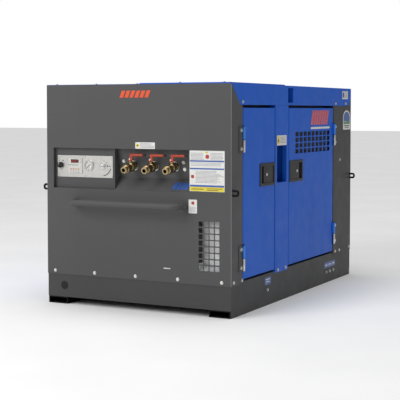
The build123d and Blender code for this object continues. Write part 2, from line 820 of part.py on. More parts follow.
def make_door(y, hinge_edge, inward, free_edge):
    """Folded pan with a cut-out for the latch. inward points from the hinge to the door."""
    pan = block((half - door_depth, half), y, (door_bottom, door_top))
    pan = fillet(pan.edges().filter_by(Axis.Z).group_by(Axis.X)[-1], door_bend)
    pan = fillet(pan.faces().sort_by(Axis.X)[-1].edges().filter_by(Axis.Y), bend)
    pan -= block(
        (half - door_depth - 1, half - sheet),
        (y[0] + sheet, y[1] - sheet),
        (door_bottom + sheet, door_top - sheet),
    )
    centre = latch_centre(free_edge, -inward)
    cut_y = latch_width / 2 - 6
    cut_z = latch_height / 2 - 6
    pan -= block(
        (half - 10, half + 1), (centre - cut_y, centre + cut_y), (latch_z - cut_z, latch_z + cut_z)
    )
    for hinge_z in hinge_heights:
        pan += door_knuckle(hinge_z, hinge_edge, inward)
    return pan


def make_latch(free_edge, inward):
    """Frame and paddle of a flush latch. Local Y runs from the free edge to the hinge."""
    centre = latch_centre(free_edge, inward)
    face = half + latch_proud
    half_y = latch_width / 2
    half_z = latch_height / 2
    frame = block((half + 0.05, face), (-half_y, half_y), (-half_z, half_z))
    frame = fillet(frame.faces().sort_by(Axis.X)[-1].edges(), 3)
    back = half - latch_pocket
    inside_y = half_y - latch_rim
    inside_z = half_z - latch_rim
    frame += block(
        (back, half + 1),
        (-inside_y - latch_wall, inside_y + latch_wall),
        (-inside_z - latch_wall, inside_z + latch_wall),
    )
    frame -= block((back + latch_wall, face + 1), (-inside_y, inside_y), (-inside_z, inside_z))
    pivot_x = half - 3
    pivot_y = -inside_y + 6
    pin_reach = inside_z + latch_wall - 0.5
    frame -= rod_z(pivot_x, pivot_y, (-pin_reach - 0.2, pin_reach + 0.2), 2.5 + running)
    paddle_z = inside_z - 1
    paddle = block(
        (half - 3, half - 3 + paddle_thickness),
        (pivot_y, pivot_y + paddle_length),
        (-paddle_z, paddle_z),
    )
    paddle += rod_z(pivot_x, pivot_y, (-paddle_z, paddle_z), 4.5)
    paddle += rod_z(pivot_x, pivot_y, (-pin_reach, pin_reach), paddle_pin_radius)
    paddle += rod_x((half - 12, half + 2.5), pivot_y + paddle_length - 32, 0, 9)
    lip_end = pivot_y + paddle_length
    paddle += block((half - 9, half + 1), (lip_end - 4, lip_end), (-paddle_z, paddle_z))
    moved = []
    for shape in (frame, paddle):
        shape = shape if inward > 0 else mirror(shape, Plane.XZ)
        moved.append(Pos(0, centre, latch_z) * shape)
    return moved


def make_doors():
    front_edge = front_return + door_gap / 2
    rear_edge = length - rear_return - door_gap / 2
    front = make_door(front_door, front_edge, 1, front_door[1])
    rear = make_door(rear_door, rear_edge, -1, rear_door[0])
    plane = Plane((half, door_grille_y, door_grille_z), x_dir=(0, 1, 0), z_dir=(1, 0, 0))
    rear -= hole_grid(
        plane,
        door_grille_columns,
        door_grille_rows,
        door_grille_hole,
        door_grille_pitch,
        sheet * 2,
    )
    for place, door, free_edge, inward in (
        ("front", front, front_door[1], -1),
        ("rear", rear, rear_door[0], 1),
    ):
        frame, paddle = make_latch(free_edge, inward)
        for name, shape in (("door", door), ("latch_frame", frame), ("latch_paddle", paddle)):
            save(f"{place}_{name}_right", shape)
            save(f"{place}_{name}_left", mirrored(shape))


# ---- engine --------------------------------------------------------------------------
def make_engine_block():
    block_rear = block_front + block_length
    body = block((-block_half, block_half), (block_front, block_rear), (300, block_top))
    for number in range(4):
        y = block_front + 70 + number * 100
        body += block((-block_half - 10, block_half + 10), (y - 30, y + 30), (330, block_top - 40))
    bell = rod_y(0, (housing_front, block_front), crank_z, flywheel_radius + 22)
    bell -= rod_y(0, (housing_front + 12, block_front - 8), crank_z, flywheel_radius + 8)
    pump = rod_y(0, (block_rear - 1, block_rear + 8), fan_z, 38)
    body += bell + pump + block((-60, 60), (block_rear - 60, block_rear), (block_top - 5, fan_z + 40))
    body -= rod_y(0, (block_front + 30, block_rear - 30), crank_z, crankcase_radius)
    body -= rod_y(0, (0, length), crank_z, crank_radius + free_fit)
    body -= rod_y(0, (block_rear - 70, length), fan_z, 12 + free_fit)
    pan = block((-110, 110), (block_front + 10, block_rear - 10), (190, 300))
    pan = fillet(pan.edges().filter_by(Axis.Y).group_by(Axis.Z)[0], 30)
    feet = []
    for y in (block_front + 60, block_rear - 60):
        foot = block((block_half + 10, 240), (y - 35, y + 35), (330, 342))
        foot += block((200, 240), (y - 35, y + 35), (floor_top + 60, 331))
        rubber = rod_z(220, y, (floor_top, floor_top + 60), 32)
        feet += [foot, mirrored(foot), rubber, mirrored(rubber)]
    save("engine_block", body, pan, *feet)


def make_cylinder_head():
    block_rear = block_front + block_length
    head = block((-110, 110), (block_front + 10, block_rear - 70), (block_top, block_top + 90))
    cover = block(
        (-75, 75), (block_front + 25, block_rear - 85), (block_top + 90, block_top + 150)
    )
    cover = fillet(cover.edges().group_by(Axis.Z)[-1], 20)
    exhaust = block((-150, -110), (block_front + 40, block_rear - 110), (590, manifold_top))
    exhaust = fillet(exhaust.edges().filter_by(Axis.Y), 12)
    inlet = block((110, 155), (block_front + 40, block_rear - 110), (590, manifold_top))
    inlet = fillet(inlet.edges().filter_by(Axis.Y), 12)
    cap = rod_z(20, block_front + 90, (block_top + 149, block_top + 170), 22)
    save("cylinder_head", head + cover + exhaust + inlet + cap)


def make_crankshaft():
    block_rear = block_front + block_length
    shaft = rod_y(0, (housing_front - 18, pulley_y + 16), crank_z, crank_radius)
    first = block_front + 75
    for number, angle in enumerate((0, 180, 180, 0)):
        offset = 22 if angle == 0 else -22
        y = first + number * 90
        shaft += rod_y(0, (y - 22, y + 22), crank_z + offset, 48)
    flywheel = rod_y(0, (housing_front + 40, housing_front + 70), crank_z, flywheel_radius)
    pulley = rod_y(0, (pulley_y - 12, pulley_y + 12), crank_z, crank_pulley + 8)
    groove = rod_y(0, (pulley_y - 8, pulley_y + 8), crank_z, crank_pulley + 20)
    pulley -= groove - rod_y(0, (pulley_y - 8, pulley_y + 8), crank_z, crank_pulley)
    assert first + 3 * 90 + 22 < block_rear
    save("crankshaft", shaft + flywheel + pulley)


def make_cooling_fan():
    fan_y = pulley_y + 62
    hub = rod_y(0, (fan_y - 22, fan_y + 22), fan_z, 48)
    shaft = rod_y(0, (pulley_y - 40, fan_y), fan_z, 12)
    pulley = rod_y(0, (pulley_y - 7, pulley_y + 7), fan_z, fan_pulley)
    pulley += rod_y(0, (pulley_y + 8, pulley_y + 11), fan_z, fan_pulley + 7)
    pulley += rod_y(0, (pulley_y + 7, fan_y), fan_z, 30)
    fan = hub + shaft + pulley
    for number in range(fan_blades):
        blade = Pos(0, 0, fan_radius / 2 + 22) * Rot(0, 0, 32) * Box(74, 4, fan_radius - 44)
        blade = fillet(blade.edges().filter_by(lambda edge: edge.length < 5), 1.5)
        fan += Pos(0, fan_y, fan_z) * Rot(0, number * 360 / fan_blades, 0) * blade
    save("cooling_fan", fan)


def belt_outline(extra):
    """Outline that wraps the three pulleys, grown by extra."""
    wheels = (
        (0, crank_z, crank_pulley),
        (0, fan_z, fan_pulley),
        (alternator_x, alternator_z, alternator_pulley),
    )
    circles = Sketch()
    for x, z, radius in wheels:
        circles += Pos(x, z) * Circle(radius + extra)
    return make_hull(circles.edges())


def make_belt_drive():
    plane = Plane((0, pulley_y, 0), x_dir=(1, 0, 0), z_dir=(0, -1, 0))
    band = belt_outline(6) - belt_outline(free_fit)
    save("fan_belt", plane * extrude(band, belt_width / 2, both=True))
    body = rod_y(alternator_x, (pulley_y - 130, pulley_y - 18), alternator_z, 62)
    body = fillet(body.edges(), 8)
    arm = block(
        (block_half, alternator_x), (pulley_y - 60, pulley_y - 40), (alternator_z - 10, block_top)
    )
    body += arm
    body -= rod_y(alternator_x, (pulley_y - 60, length), alternator_z, 9 + free_fit)
    save("alternator", body)
    wheel = rod_y(alternator_x, (pulley_y - 7, pulley_y + 7), alternator_z, alternator_pulley)
    for low, high in ((-12, -8), (8, 12)):
        flange = (pulley_y + low, pulley_y + high)
        wheel += rod_y(alternator_x, flange, alternator_z, alternator_pulley + 7)
    wheel += rod_y(alternator_x, (pulley_y - 12, pulley_y + 12), alternator_z, alternator_pulley - 1)
    wheel += rod_y(alternator_x, (pulley_y - 58, pulley_y + 20), alternator_z, 9)
    save("alternator_pulley", wheel)


def make_radiator():
    y = (1385.0, 1445.0)
    core = block((-300, 300), y, (400, 840))
    top_tank = fillet(block((-310, 310), (1375, 1455), (840, 900)).edges().filter_by(Axis.X), 15)
    low_tank = fillet(block((-310, 310), (1375, 1455), (340, 400)).edges().filter_by(Axis.X), 15)
    cap = rod_z(220, 1415, (899, 925), 28)
    legs = block((-340, 340), y, (floor_top, 340)) - block((-280, 280), (0, length), (0, 320))
    shroud = block((-300, 300), (1318, 1384.7), (400, 840))
    shroud -= block((-296, 296), (1322, 1400), (404, 836))
    shroud -= rod_y(0, (1300, 1400), fan_z, fan_radius - 13)
    save("radiator", core + top_tank + low_tank + cap + legs, shroud)


def make_muffler():
    can = rod_y(muffler_x, (860, 1280), muffler_z, muffler_radius)
    can = fillet(can.edges(), 18)
    tail = rod_z(muffler_x, exhaust_y, (muffler_z, roof_top + 2), exhaust_radius)
    tail -= rod_z(muffler_x, exhaust_y, (muffler_z + 90, height + 20), exhaust_radius - 3)
    down_x = -131.0
    down = rod_z(down_x, 900, (manifold_top + free_fit, 900), 18)
    down += rod_x((muffler_x, down_x), 900, muffler_z, 18)
    save("muffler", can + tail + down)


def make_air_cleaner():
    can = fillet(rod_y(235, (800, 1090), 860, 92).edges(), 10)
    band = rod_y(235, (1030, 1044), 860, 96)
    hose = rod_z(133, 945, (manifold_top + free_fit, 860), 21) + rod_x((133, 235), 945, 860, 21)
    bracket = block((215, 255), (900, 990), (945, 1000))
    save("air_cleaner", can + band + hose + bracket)


# ---- air end -------------------------------------------------------------------------
def make_air_end():
    female_x = male_pitch_radius + female_pitch_radius
    rear = rotor_front + rotor_length
    wall = 22.0
    male_bore = male_pitch_radius + lobe_radius + 0.5
    case = rod_y(0, (rotor_front - wall, rear + wall), crank_z, male_bore + wall)
    case += rod_y(female_x, (rotor_front - wall, rear + wall), crank_z, male_bore + wall)
    case += block((-60, female_x + 60), (rotor_front, rear), (crank_z - 95, crank_z + 60))
    case += block((-40, female_x + 40), (rotor_front + 20, rear - 20), (floor_top + 60, crank_z - 60))
    case += rod_z(45, rotor_front + 100, (crank_z, crank_z + 150), 55)
    case += rod_y(0, (rear, housing_front - 0.3), crank_z, 95)
    case -= rod_y(0, (rotor_front - 0.5, rear + 0.5), crank_z, male_bore)
    case -= rod_y(female_x, (rotor_front - 0.5, rear + 0.5), crank_z, female_pitch_radius + 0.5)
    case -= rod_y(0, (rotor_front - 60, length), crank_z, 20 + free_fit)
    case -= rod_y(0, (rear + wall, length), crank_z, 70)
    case -= rod_y(female_x, (rotor_front - 15, rear + 15), crank_z, 16 + free_fit)
    rubber = []
    for y in (rotor_front + 40, rear - 40):
        rubber.append(block((0, female_x), (y - 25, y + 25), (floor_top, floor_top + 60)))
    save("airend_housing", case, *rubber)

    male = Circle(male_pitch_radius - 1)
    male += PolarLocations(male_pitch_radius, male_lobes) * Circle(lobe_radius)
    plane = Plane((0, rear, crank_z), x_dir=(1, 0, 0), z_dir=(0, -1, 0))
    rotor = plane * extrude(male, rotor_length)
    rotor += rod_y(0, (rotor_front - 20, housing_front - 18.5), crank_z, 20)
    rotor += rod_y(0, (rear + wall + 2, housing_front - 18.5), crank_z, 60)
    save("male_rotor", rotor)

    female = Circle(female_pitch_radius - 0.5)
    cuts = PolarLocations(female_pitch_radius, female_flutes) * Circle(lobe_radius + 1)
    female = Rot(0, 0, 180) * (female - (Sketch() + cuts))
    plane = Plane((female_x, rear, crank_z), x_dir=(1, 0, 0), z_dir=(0, -1, 0))
    rotor = plane * extrude(female, rotor_length)
    rotor += rod_y(female_x, (rotor_front - 14, rear + 14), crank_z, 16)
    save("female_rotor", rotor)


def make_receiver():
    tank = rod_z(tank_x, tank_y, (130, tank_top), tank_radius)
    tank = fillet(tank.edges(), 40)
    flange = rod_z(tank_x, tank_y, (tank_top - 5, tank_top + 45), 80)
    legs = tank + flange
    for angle in (45, 135, 225, 315):
        x = tank_x + 100 * math.cos(math.radians(angle))
        y = tank_y + 100 * math.sin(math.radians(angle))
        legs += rod_z(x, y, (floor_top, 190), 14)
    legs += rod_x((140, tank_x), tank_y + 60, 480, 20)
    save("receiver_tank", legs)


# ---- fuel and battery ----------------------------------------------------------------
def make_fuel_system():
    tank = block((-470, -190), (190, 620), (floor_top, fuel_top))
    tank = fillet(tank.edges().filter_by(Axis.Z) + tank.edges().group_by(Axis.Z)[-1], 25)
    neck_top = fuel_top + 60
    tank += rod_z(filler_x, filler_y, (fuel_top - 5, neck_top), filler_radius)
    tank -= rod_z(filler_x, filler_y, (fuel_top - 5, neck_top + 1), filler_radius - 4)
    save("fuel_tank", tank)
    cap = rod_z(filler_x, filler_y, (neck_top + 0.3, neck_top + 18), filler_radius + 8)
    cap += block(
        (filler_x - 30, filler_x + 30), (filler_y - 5, filler_y + 5), (neck_top + 17, neck_top + 28)
    )
    cap += rod_z(filler_x, filler_y, (neck_top - 15, neck_top + 1), filler_radius - 4 - free_fit)
    save("fuel_cap", cap)


def make_battery():
    case = block((-470, -300), (765, 1005), (floor_top, floor_top + 175))
    case = fillet(case.edges().filter_by(Axis.Z), 6)
    lid = block((-472, -298), (763, 1007), (floor_top + 175, floor_top + 200))
    for y in (795.0, 975.0):
        lid += rod_z(-440, y, (floor_top + 199, floor_top + 217), 9)
    tie = block((-395, -375), (763, 1007), (floor_top + 200, floor_top + 206))
    save("battery", case + lid + tie)


def make_everything():
    os.makedirs("parts", exist_ok=True)
    make_skids()
    make_base_frame()
    make_floor()
    make_front_panel()
    make_rear_panel()
    make_roof_front()
    make_roof_rear()
    make_roof_channel()
    make_lifting_frame()
    make_centre_pillar()
    make_intake_baffle()
    make_control_housing()
    make_valve_pocket()
    make_instrument_plate()
    make_status_display()
    make_gauge()
    make_key_switch()
    make_air_outlets()
    make_air_manifold()
    make_grab_rail()
    make_rope_hooks()
    make_bolts()
    make_hinges()
    make_doors()
    make_engine_block()
    make_cylinder_head()
    make_crankshaft()
    make_cooling_fan()
    make_belt_drive()
    make_radiator()
    make_muffler()
    make_air_cleaner()
    make_air_end()
    make_receiver()
    make_fuel_system()
    make_battery()


make_everything()
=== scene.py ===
"""Looks of the engine driven air compressor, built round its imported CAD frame.

Metres. +Z is up, +X is the right side seen from the front, the front faces -Y.
"""
import bpy
import bmesh
import json
import math
import random
from mathutils import Matrix, Vector


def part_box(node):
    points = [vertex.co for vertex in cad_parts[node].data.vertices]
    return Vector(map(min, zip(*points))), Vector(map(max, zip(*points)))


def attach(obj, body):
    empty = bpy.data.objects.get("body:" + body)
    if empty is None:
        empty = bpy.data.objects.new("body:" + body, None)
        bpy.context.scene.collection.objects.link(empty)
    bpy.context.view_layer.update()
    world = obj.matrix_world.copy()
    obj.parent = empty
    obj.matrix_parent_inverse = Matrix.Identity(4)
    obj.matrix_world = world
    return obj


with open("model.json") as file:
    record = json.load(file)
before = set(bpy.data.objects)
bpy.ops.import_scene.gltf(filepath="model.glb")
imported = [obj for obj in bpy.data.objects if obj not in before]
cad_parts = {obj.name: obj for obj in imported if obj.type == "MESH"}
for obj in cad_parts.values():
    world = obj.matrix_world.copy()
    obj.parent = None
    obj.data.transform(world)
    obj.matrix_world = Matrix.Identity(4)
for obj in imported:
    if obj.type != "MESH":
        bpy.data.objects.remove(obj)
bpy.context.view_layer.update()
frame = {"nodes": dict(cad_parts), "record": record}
MM = 0.001

# ---- places read from the frame --------------------------------------------------------
PANEL_LOW, PANEL_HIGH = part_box("front_panel")
FRONT = PANEL_LOW[1]
SIDE = PANEL_HIGH[0]

# The values below are in millimetres, and repeat the part's own sizes.
REAR_FACE = (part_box("rear_panel")[1][1] - FRONT) / MM  # depth behind the front face
SIGNS = {"right": 1, "left": -1}  # side of the machine, and the sign of its X
HINGE_LINES = {"front": 123.5, "rear": 1343.5}  # depth of each door's hinges
HINGE_HEIGHTS = (272.0, 836.0)
HINGE_HALF = 62.0  # half the height of a hinge
HINGE_PROUD = 7.0
BARREL = 5.5  # radius of a hinge
CORNER_BEND = 4.0  # fold radius of the front panel
ROOF_TOP = 1101.5
WALL_TILT = math.atan2(27.0, 142.0)  # the valve pocket's wall leans back
WALL_TOP = (30.0, 787.0)  # depth and height of that wall's top edge
VALVES = (-30.0, 84.0, 198.0)
VALVE_Z = 706.0
BALL_REACH = 34.0  # pocket wall to the ball's centre
INSTRUMENT_FACE = 18.5  # depth of the instrument plate's face
KNOB = (-444, 700)  # X and Z of the controls
GAUGE = (-275, 701)
KEY = (-196, 699)
EXHAUST = (-210, 1190)  # X and depth of the hole in the roof
TANK = (325, 310)  # X and depth of the receiver
DOOR_EDGES = {"front": (125.0, 509.0), "rear": (685.0, 1342.0)}
LOCK_REACH = 84.0  # a latch paddle's pivot edge to its key cylinder
PAPER = 0.3  # thickness of a label
LABEL_CORNER = 3.0
INK_LIFT = 0.12  # thickness of a printed layer
INK_SUNK = 0.02  # how far the ink goes into the label


def y_at(depth):
    """Y of a place this many millimetres behind the front face."""
    return FRONT + depth * MM


# ---- materials -------------------------------------------------------------------------
def srgb(r, g, b):
    """Linear colour from display values between 0 and 255."""
    def linear(value):
        value /= 255
        return value / 12.92 if value <= 0.04045 else ((value + 0.055) / 1.055) ** 2.4
    return (linear(r), linear(g), linear(b), 1.0)


class Surface:
    """A node material on one Principled shader, with helpers for its usual layers."""

    def __init__(self, name, metallic=0.0, coat=0.0, coat_roughness=0.2, sheen=0.0):
        self.material = bpy.data.materials.new(name)
        self.material.use_nodes = True
        self.nodes = self.material.node_tree.nodes
        self.links = self.material.node_tree.links
        self.shader = self.nodes["Principled BSDF"]
        self.shader.inputs["Metallic"].default_value = metallic
        self.shader.inputs["Coat Weight"].default_value = coat
        self.shader.inputs["Coat Roughness"].default_value = coat_roughness
        self.shader.inputs["Sheen Weight"].default_value = sheen
        self.place = self.nodes.new("ShaderNodeTexCoord").outputs["Object"]

    def link(self, output, node, socket):
        self.links.new(output, node.inputs[socket])

    def noise(self, scale, detail=3.0, stretch=(1, 1, 1)):
        mapping = self.nodes.new("ShaderNodeMapping")
        mapping.inputs["Scale"].default_value = stretch
        self.link(self.place, mapping, "Vector")
        noise = self.nodes.new("ShaderNodeTexNoise")
        noise.inputs["Scale"].default_value = scale
        noise.inputs["Detail"].default_value = detail
        self.link(mapping.outputs["Vector"], noise, "Vector")
        return noise.outputs["Fac"]

    def remap(self, value, low, high, to_low, to_high):
        node = self.nodes.new("ShaderNodeMapRange")
        for socket, number in zip(
            ("From Min", "From Max", "To Min", "To Max"), (low, high, to_low, to_high)
        ):
            node.inputs[socket].default_value = number
        self.link(value, node, "Value")
        return node.outputs["Result"]

    def spots(self, scale, detail, low, high):
        """Soft noise spread between two values."""
        return self.remap(self.noise(scale, detail), 0.3, 0.7, low, high)

    def mix(self, factor, first, second):
        node = self.nodes.new("ShaderNodeMix")
        node.data_type = "RGBA"
        self.links.new(factor, node.inputs[0])
        for socket, colour in ((6, first), (7, second)):
            if isinstance(colour, tuple):
                node.inputs[socket].default_value = colour
            else:
                self.links.new(colour, node.inputs[socket])
        return node.outputs[2]

    def colour(self, output):
        self.link(output, self.shader, "Base Color")

    def roughness(self, output):
        self.link(output, self.shader, "Roughness")

    def bump(self, height, strength, distance):
        node = self.nodes.new("ShaderNodeBump")
        node.inputs["Strength"].default_value = strength
        node.inputs["Distance"].default_value = distance
        self.link(height, node, "Height")
        self.link(node.outputs["Normal"], self.shader, "Normal")


def scaled(colour, factor):
    return tuple(min(1.0, channel * factor) for channel in colour[:3]) + (1.0,)


def painted(name, colour, rough=0.45, coat=0.0, peel=0.25, spread=0.07):
    """Sprayed sheet metal: slight tone clouds, faint upright streaks and orange peel."""
    surface = Surface(name, coat=coat, coat_roughness=0.25)
    surface.shader.inputs["Specular IOR Level"].default_value = 0.16
    clouds = surface.spots(2.2, 4.0, 0.0, 1.0)
    tone = surface.mix(clouds, scaled(colour, 1 - spread), scaled(colour, 1 + spread))
    streaks = surface.remap(surface.noise(9.0, 5.0, (1, 1, 0.15)), 0.62, 0.8, 0.0, 0.25)
    surface.colour(surface.mix(streaks, tone, scaled(colour, 1.25)))
    surface.roughness(surface.spots(14.0, 4.0, rough - 0.05, rough + 0.07))
    surface.bump(surface.noise(900.0, 1.0), peel, 0.00025)
    return surface.material


def metal(name, colour, rough=0.35, grain=(1, 1, 1), spread=0.12, fine=240.0):
    """Bare or plated metal, with grain where it is brushed."""
    surface = Surface(name, metallic=1.0)
    mottle = surface.spots(60.0, 4.0, 0.0, 1.0)
    surface.colour(surface.mix(mottle, scaled(colour, 1 - spread), scaled(colour, 1 + spread)))
    lines = surface.noise(fine, 3.0, grain)
    surface.roughness(surface.remap(lines, 0.3, 0.7, rough - 0.08, rough + 0.1))
    surface.bump(lines, 0.15, 0.0001)
    return surface.material


def moulded(name, colour, rough=0.5, grain=0.3, coat=0.0):
    """Moulded plastic or rubber with a fine leather-like grain."""
    surface = Surface(name, coat=coat)
    tone = surface.spots(30.0, 3.0, 0.0, 1.0)
    surface.colour(surface.mix(tone, scaled(colour, 0.85), scaled(colour, 1.15)))
    surface.roughness(surface.spots(80.0, 3.0, rough - 0.06, rough + 0.08))
    surface.bump(surface.noise(1400.0, 2.0), grain, 0.0002)
    return surface.material


def casting(name, colour, rough=0.6):
    """Rough sand casting under thin paint."""
    surface = Surface(name)
    tone = surface.remap(surface.noise(25.0, 5.0), 0.35, 0.7, 0.0, 1.0)
    surface.colour(surface.mix(tone, scaled(colour, 0.75), scaled(colour, 1.2)))
    surface.roughness(surface.spots(40.0, 4.0, rough - 0.1, rough + 0.12))
    surface.bump(surface.noise(420.0, 4.0), 0.5, 0.0006)
    return surface.material


def printed(name, colour, rough=0.38):
    """Ink or film on a label: nearly even, with faint mottling."""
    surface = Surface(name, coat=0.3, coat_roughness=0.15)
    tone = surface.spots(120.0, 2.0, 0.0, 1.0)
    surface.colour(surface.mix(tone, scaled(colour, 0.94), scaled(colour, 1.04)))
    surface.roughness(surface.spots(60.0, 3.0, rough - 0.05, rough + 0.05))
    surface.bump(surface.noise(1800.0, 1.0), 0.1, 0.0001)
    return surface.material


def foam(name, colour):
    """Open cell acoustic foam, with painted shade in the pits of its cells."""
    surface = Surface(name, sheen=0.2)
    cells = surface.nodes.new("ShaderNodeTexVoronoi")
    cells.inputs["Scale"].default_value = 320.0
    surface.link(surface.place, cells, "Vector")
    # The cells darken towards their pits, where the bump sinks: painted shade in the hollows.
    shade = surface.remap(cells.outputs["Distance"], 0.0, 0.6, 0.0, 1.0)
    surface.colour(surface.mix(shade, scaled(colour, 0.5), scaled(colour, 1.3)))
    surface.shader.inputs["Roughness"].default_value = 0.95
    surface.bump(cells.outputs["Distance"], 0.8, 0.0015)
    return surface.material


def glass(name):
    """Clear plastic with faint haze."""
    surface = Surface(name)
    surface.shader.inputs["Transmission Weight"].default_value = 1.0
    surface.shader.inputs["IOR"].default_value = 1.45
    surface.shader.inputs["Alpha"].default_value = 0.25
    tone = surface.noise(50.0)
    surface.colour(surface.mix(tone, (0.95, 0.97, 0.97, 1), (1, 1, 1, 1)))
    surface.roughness(surface.spots(90.0, 3.0, 0.03, 0.08))
    return surface.material


def glowing(name, colour, strength):
    """A small lamp that is lit from inside."""
    surface = Surface(name)
    tone = surface.spots(200.0, 3.0, 0.0, 1.0)
    surface.colour(surface.mix(tone, scaled(colour, 0.8), scaled(colour, 1.1)))
    surface.shader.inputs["Emission Color"].default_value = colour
    surface.shader.inputs["Emission Strength"].default_value = strength
    surface.shader.inputs["Roughness"].default_value = 0.3
    return surface.material


GREY = painted("grey_paint", srgb(84, 84, 85), spread=0.03)
# Darker copy of the grey paint for the side-paint parts and the rear panel: painted shade on these
# side-facing parts.
SHADED_GREY = painted("shaded_grey_paint", srgb(74, 74, 74), spread=0.03)
BLUE = painted("blue_paint", srgb(28, 96, 204), rough=0.42, spread=0.04)
BLACK = painted("black_paint", srgb(15, 15, 16), rough=0.5)
ZINC = metal("zinc_plate", srgb(222, 221, 215), rough=0.36)
GALVANISED = metal("galvanised", srgb(240, 242, 245), rough=0.6, spread=0.15)
BRUSHED = metal("brushed_aluminium", srgb(196, 195, 191), rough=0.45, grain=(0.03, 1, 1), spread=0.05)
BLACK_PLASTIC = moulded("black_plastic", srgb(26, 26, 27))
CHROME = metal("bright_steel", srgb(225, 225, 225), rough=0.2)
INK = printed("black_ink", srgb(28, 28, 30))
BRASS = metal("forged_brass", srgb(164, 146, 108), rough=0.25, fine=90.0, spread=0.2)
RED_VINYL = moulded("red_vinyl", srgb(170, 58, 28), rough=0.42, coat=0.1)
CAST = casting("cast_iron", srgb(70, 76, 80))
CAST_ALLOY = metal("cast_alloy", srgb(165, 168, 170), rough=0.6, fine=300.0)
MACHINED = metal("machined_steel", srgb(175, 176, 178), rough=0.3)
FAN_PLASTIC = moulded("fan_plastic", srgb(32, 33, 34), rough=0.45)
RUBBER = moulded("rubber", srgb(20, 20, 20), rough=0.75)
HOT_STEEL = metal("heat_dulled_steel", srgb(140, 132, 122), rough=0.55, spread=0.3)
CORE_BLACK = painted("core_black", srgb(26, 27, 29), rough=0.6)
TANK_PAINT = painted("receiver_paint", srgb(74, 80, 86), rough=0.4)
FUEL_WHITE = moulded("fuel_tank_plastic", srgb(214, 211, 198), rough=0.45)
BATTERY = moulded("battery_case", srgb(30, 30, 33), rough=0.3, coat=0.2)
WHITE = printed("label_white", srgb(226, 226, 222))
PRINT_GREY = printed("print_grey", srgb(150, 152, 158))
PRINT_BLUE = printed("print_blue", srgb(52, 92, 168))
PRINT_GREEN = printed("print_green", srgb(70, 132, 84))
PRINT_YELLOW = printed("print_yellow", srgb(226, 205, 52))
PRINT_RED = printed("print_red", srgb(176, 52, 44))
PRINT_TAN = printed("print_tan", srgb(176, 170, 158))
FILTER_MESH = moulded("filter_mesh", srgb(244, 245, 244), rough=0.7, grain=0.9)
ORANGE_PAINT = painted("filter_paint", srgb(190, 84, 30), rough=0.35)
LATCH_GREY = painted("latch_grey", srgb(62, 62, 63), rough=0.45)
# Lighter blue than the door paint: painted highlight on the doors' hinge knuckles.
KNUCKLE_HIGHLIGHT_BLUE = painted("knuckle_highlight_blue", srgb(64, 146, 250), rough=0.3, coat=0.4, spread=0.04)
# Lighter grey than the panel paint: painted highlight along the front panel's folded corners.
CORNER_HIGHLIGHT_GREY = painted("corner_highlight_grey", srgb(134, 134, 135), rough=0.4, spread=0.12)
HINGE_GREY = painted("hinge_grey", srgb(82, 82, 83), rough=0.45)
DISPLAY_FILM = printed("display_film", srgb(204, 203, 198))
ORANGE = printed("orange_film", srgb(224, 80, 30))
FOAM = foam("acoustic_foam", srgb(40, 40, 42))
DARK_GLASS = moulded("display_dark", srgb(36, 22, 22), rough=0.15, grain=0.02, coat=0.5)
GLASS = glass("clear_lens")
RED_LAMP = glowing("red_lamp", srgb(190, 62, 44), 0.15)
AMBER_LAMP = glowing("amber_lamp", srgb(214, 140, 60), 0.12)

SLOT_MATERIALS = {
    "grey_paint": GREY,
    "side_paint": SHADED_GREY,
    "blue_paint": BLUE,
    "black_paint": BLACK,
    "zinc": ZINC,
    "galvanised": GALVANISED,
    "instrument_aluminium": BRUSHED,
    "black_plastic": BLACK_PLASTIC,
    "gauge_steel": CHROME,
    "needle_black": INK,
    "valve_brass": BRASS,
    "red_grip": RED_VINYL,
    "cast_iron": CAST,
    "head_aluminium": CAST_ALLOY,
    "machined_steel": MACHINED,
    "fan_plastic": FAN_PLASTIC,
    "belt_rubber": RUBBER,
    "muffler_steel": HOT_STEEL,
    "radiator_black": CORE_BLACK,
    "receiver_paint": TANK_PAINT,
    "fuel_plastic": FUEL_WHITE,
    "battery_case": BATTERY,
    "cap_plastic": BLACK_PLASTIC,
    "latch_grey": LATCH_GREY,
    "hinge_grey": HINGE_GREY,
    "display_film": DISPLAY_FILM,
}


def dress_cad_nodes():
    """Give every CAD node the material of its slot, in all its mesh slots."""
    slots = {part["node"]: part["material_slot"] for part in frame["record"]["subparts"]}
    for node, thing in frame["nodes"].items():
        for index in range(len(thing.material_slots)):
            thing.material_slots[index].material = SLOT_MATERIALS[slots[node]]
    # The rear panel also takes the darker grey, as painted shade on its side-facing faces.
    for slot in frame["nodes"]["rear_panel"].material_slots:
        slot.material = SHADED_GREY


# ---- mesh helpers ----------------------------------------------------------------------
def piece(name, mesh_builder, material, body, location=None):
    """A new object whose mesh is filled in by mesh_builder(bmesh)."""
    mesh = bpy.data.meshes.new(name)
    work = bmesh.new()
    mesh_builder(work)
    if location is not None:
        bmesh.ops.transform(work, matrix=location, verts=work.verts)
    bmesh.ops.recalc_face_normals(work, faces=work.faces)
    work.to_mesh(mesh)
    work.free()
    thing = bpy.data.objects.new(name, mesh)
    bpy.context.scene.collection.objects.link(thing)
    mesh.materials.append(material)
    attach(thing, body)
    return thing


def smooth(thing, angle=35):
    """Shade a piece smoothly, except at its sharp edges."""
    for face in thing.data.polygons:
        face.use_smooth = True
    thing.data.set_sharp_from_angle(angle=math.radians(angle))


def print_on(name, mesh_builder, material, location, body="enclosure"):
    """A flat printed piece."""
    return piece(name, mesh_builder, material, body, location)


def fitting(name, mesh_builder, material, location=None, body="enclosure"):
    """A piece that is shaded smoothly."""
    smooth(piece(name, mesh_builder, material, body, location))


def facing_front(x, depth, z):
    """Local X to the right, local Y up and local Z out of the front face."""
    turn = Matrix(((1, 0, 0), (0, 0, -1), (0, 1, 0))).to_4x4()
    return Matrix.Translation((x * MM, y_at(depth), z * MM)) @ turn


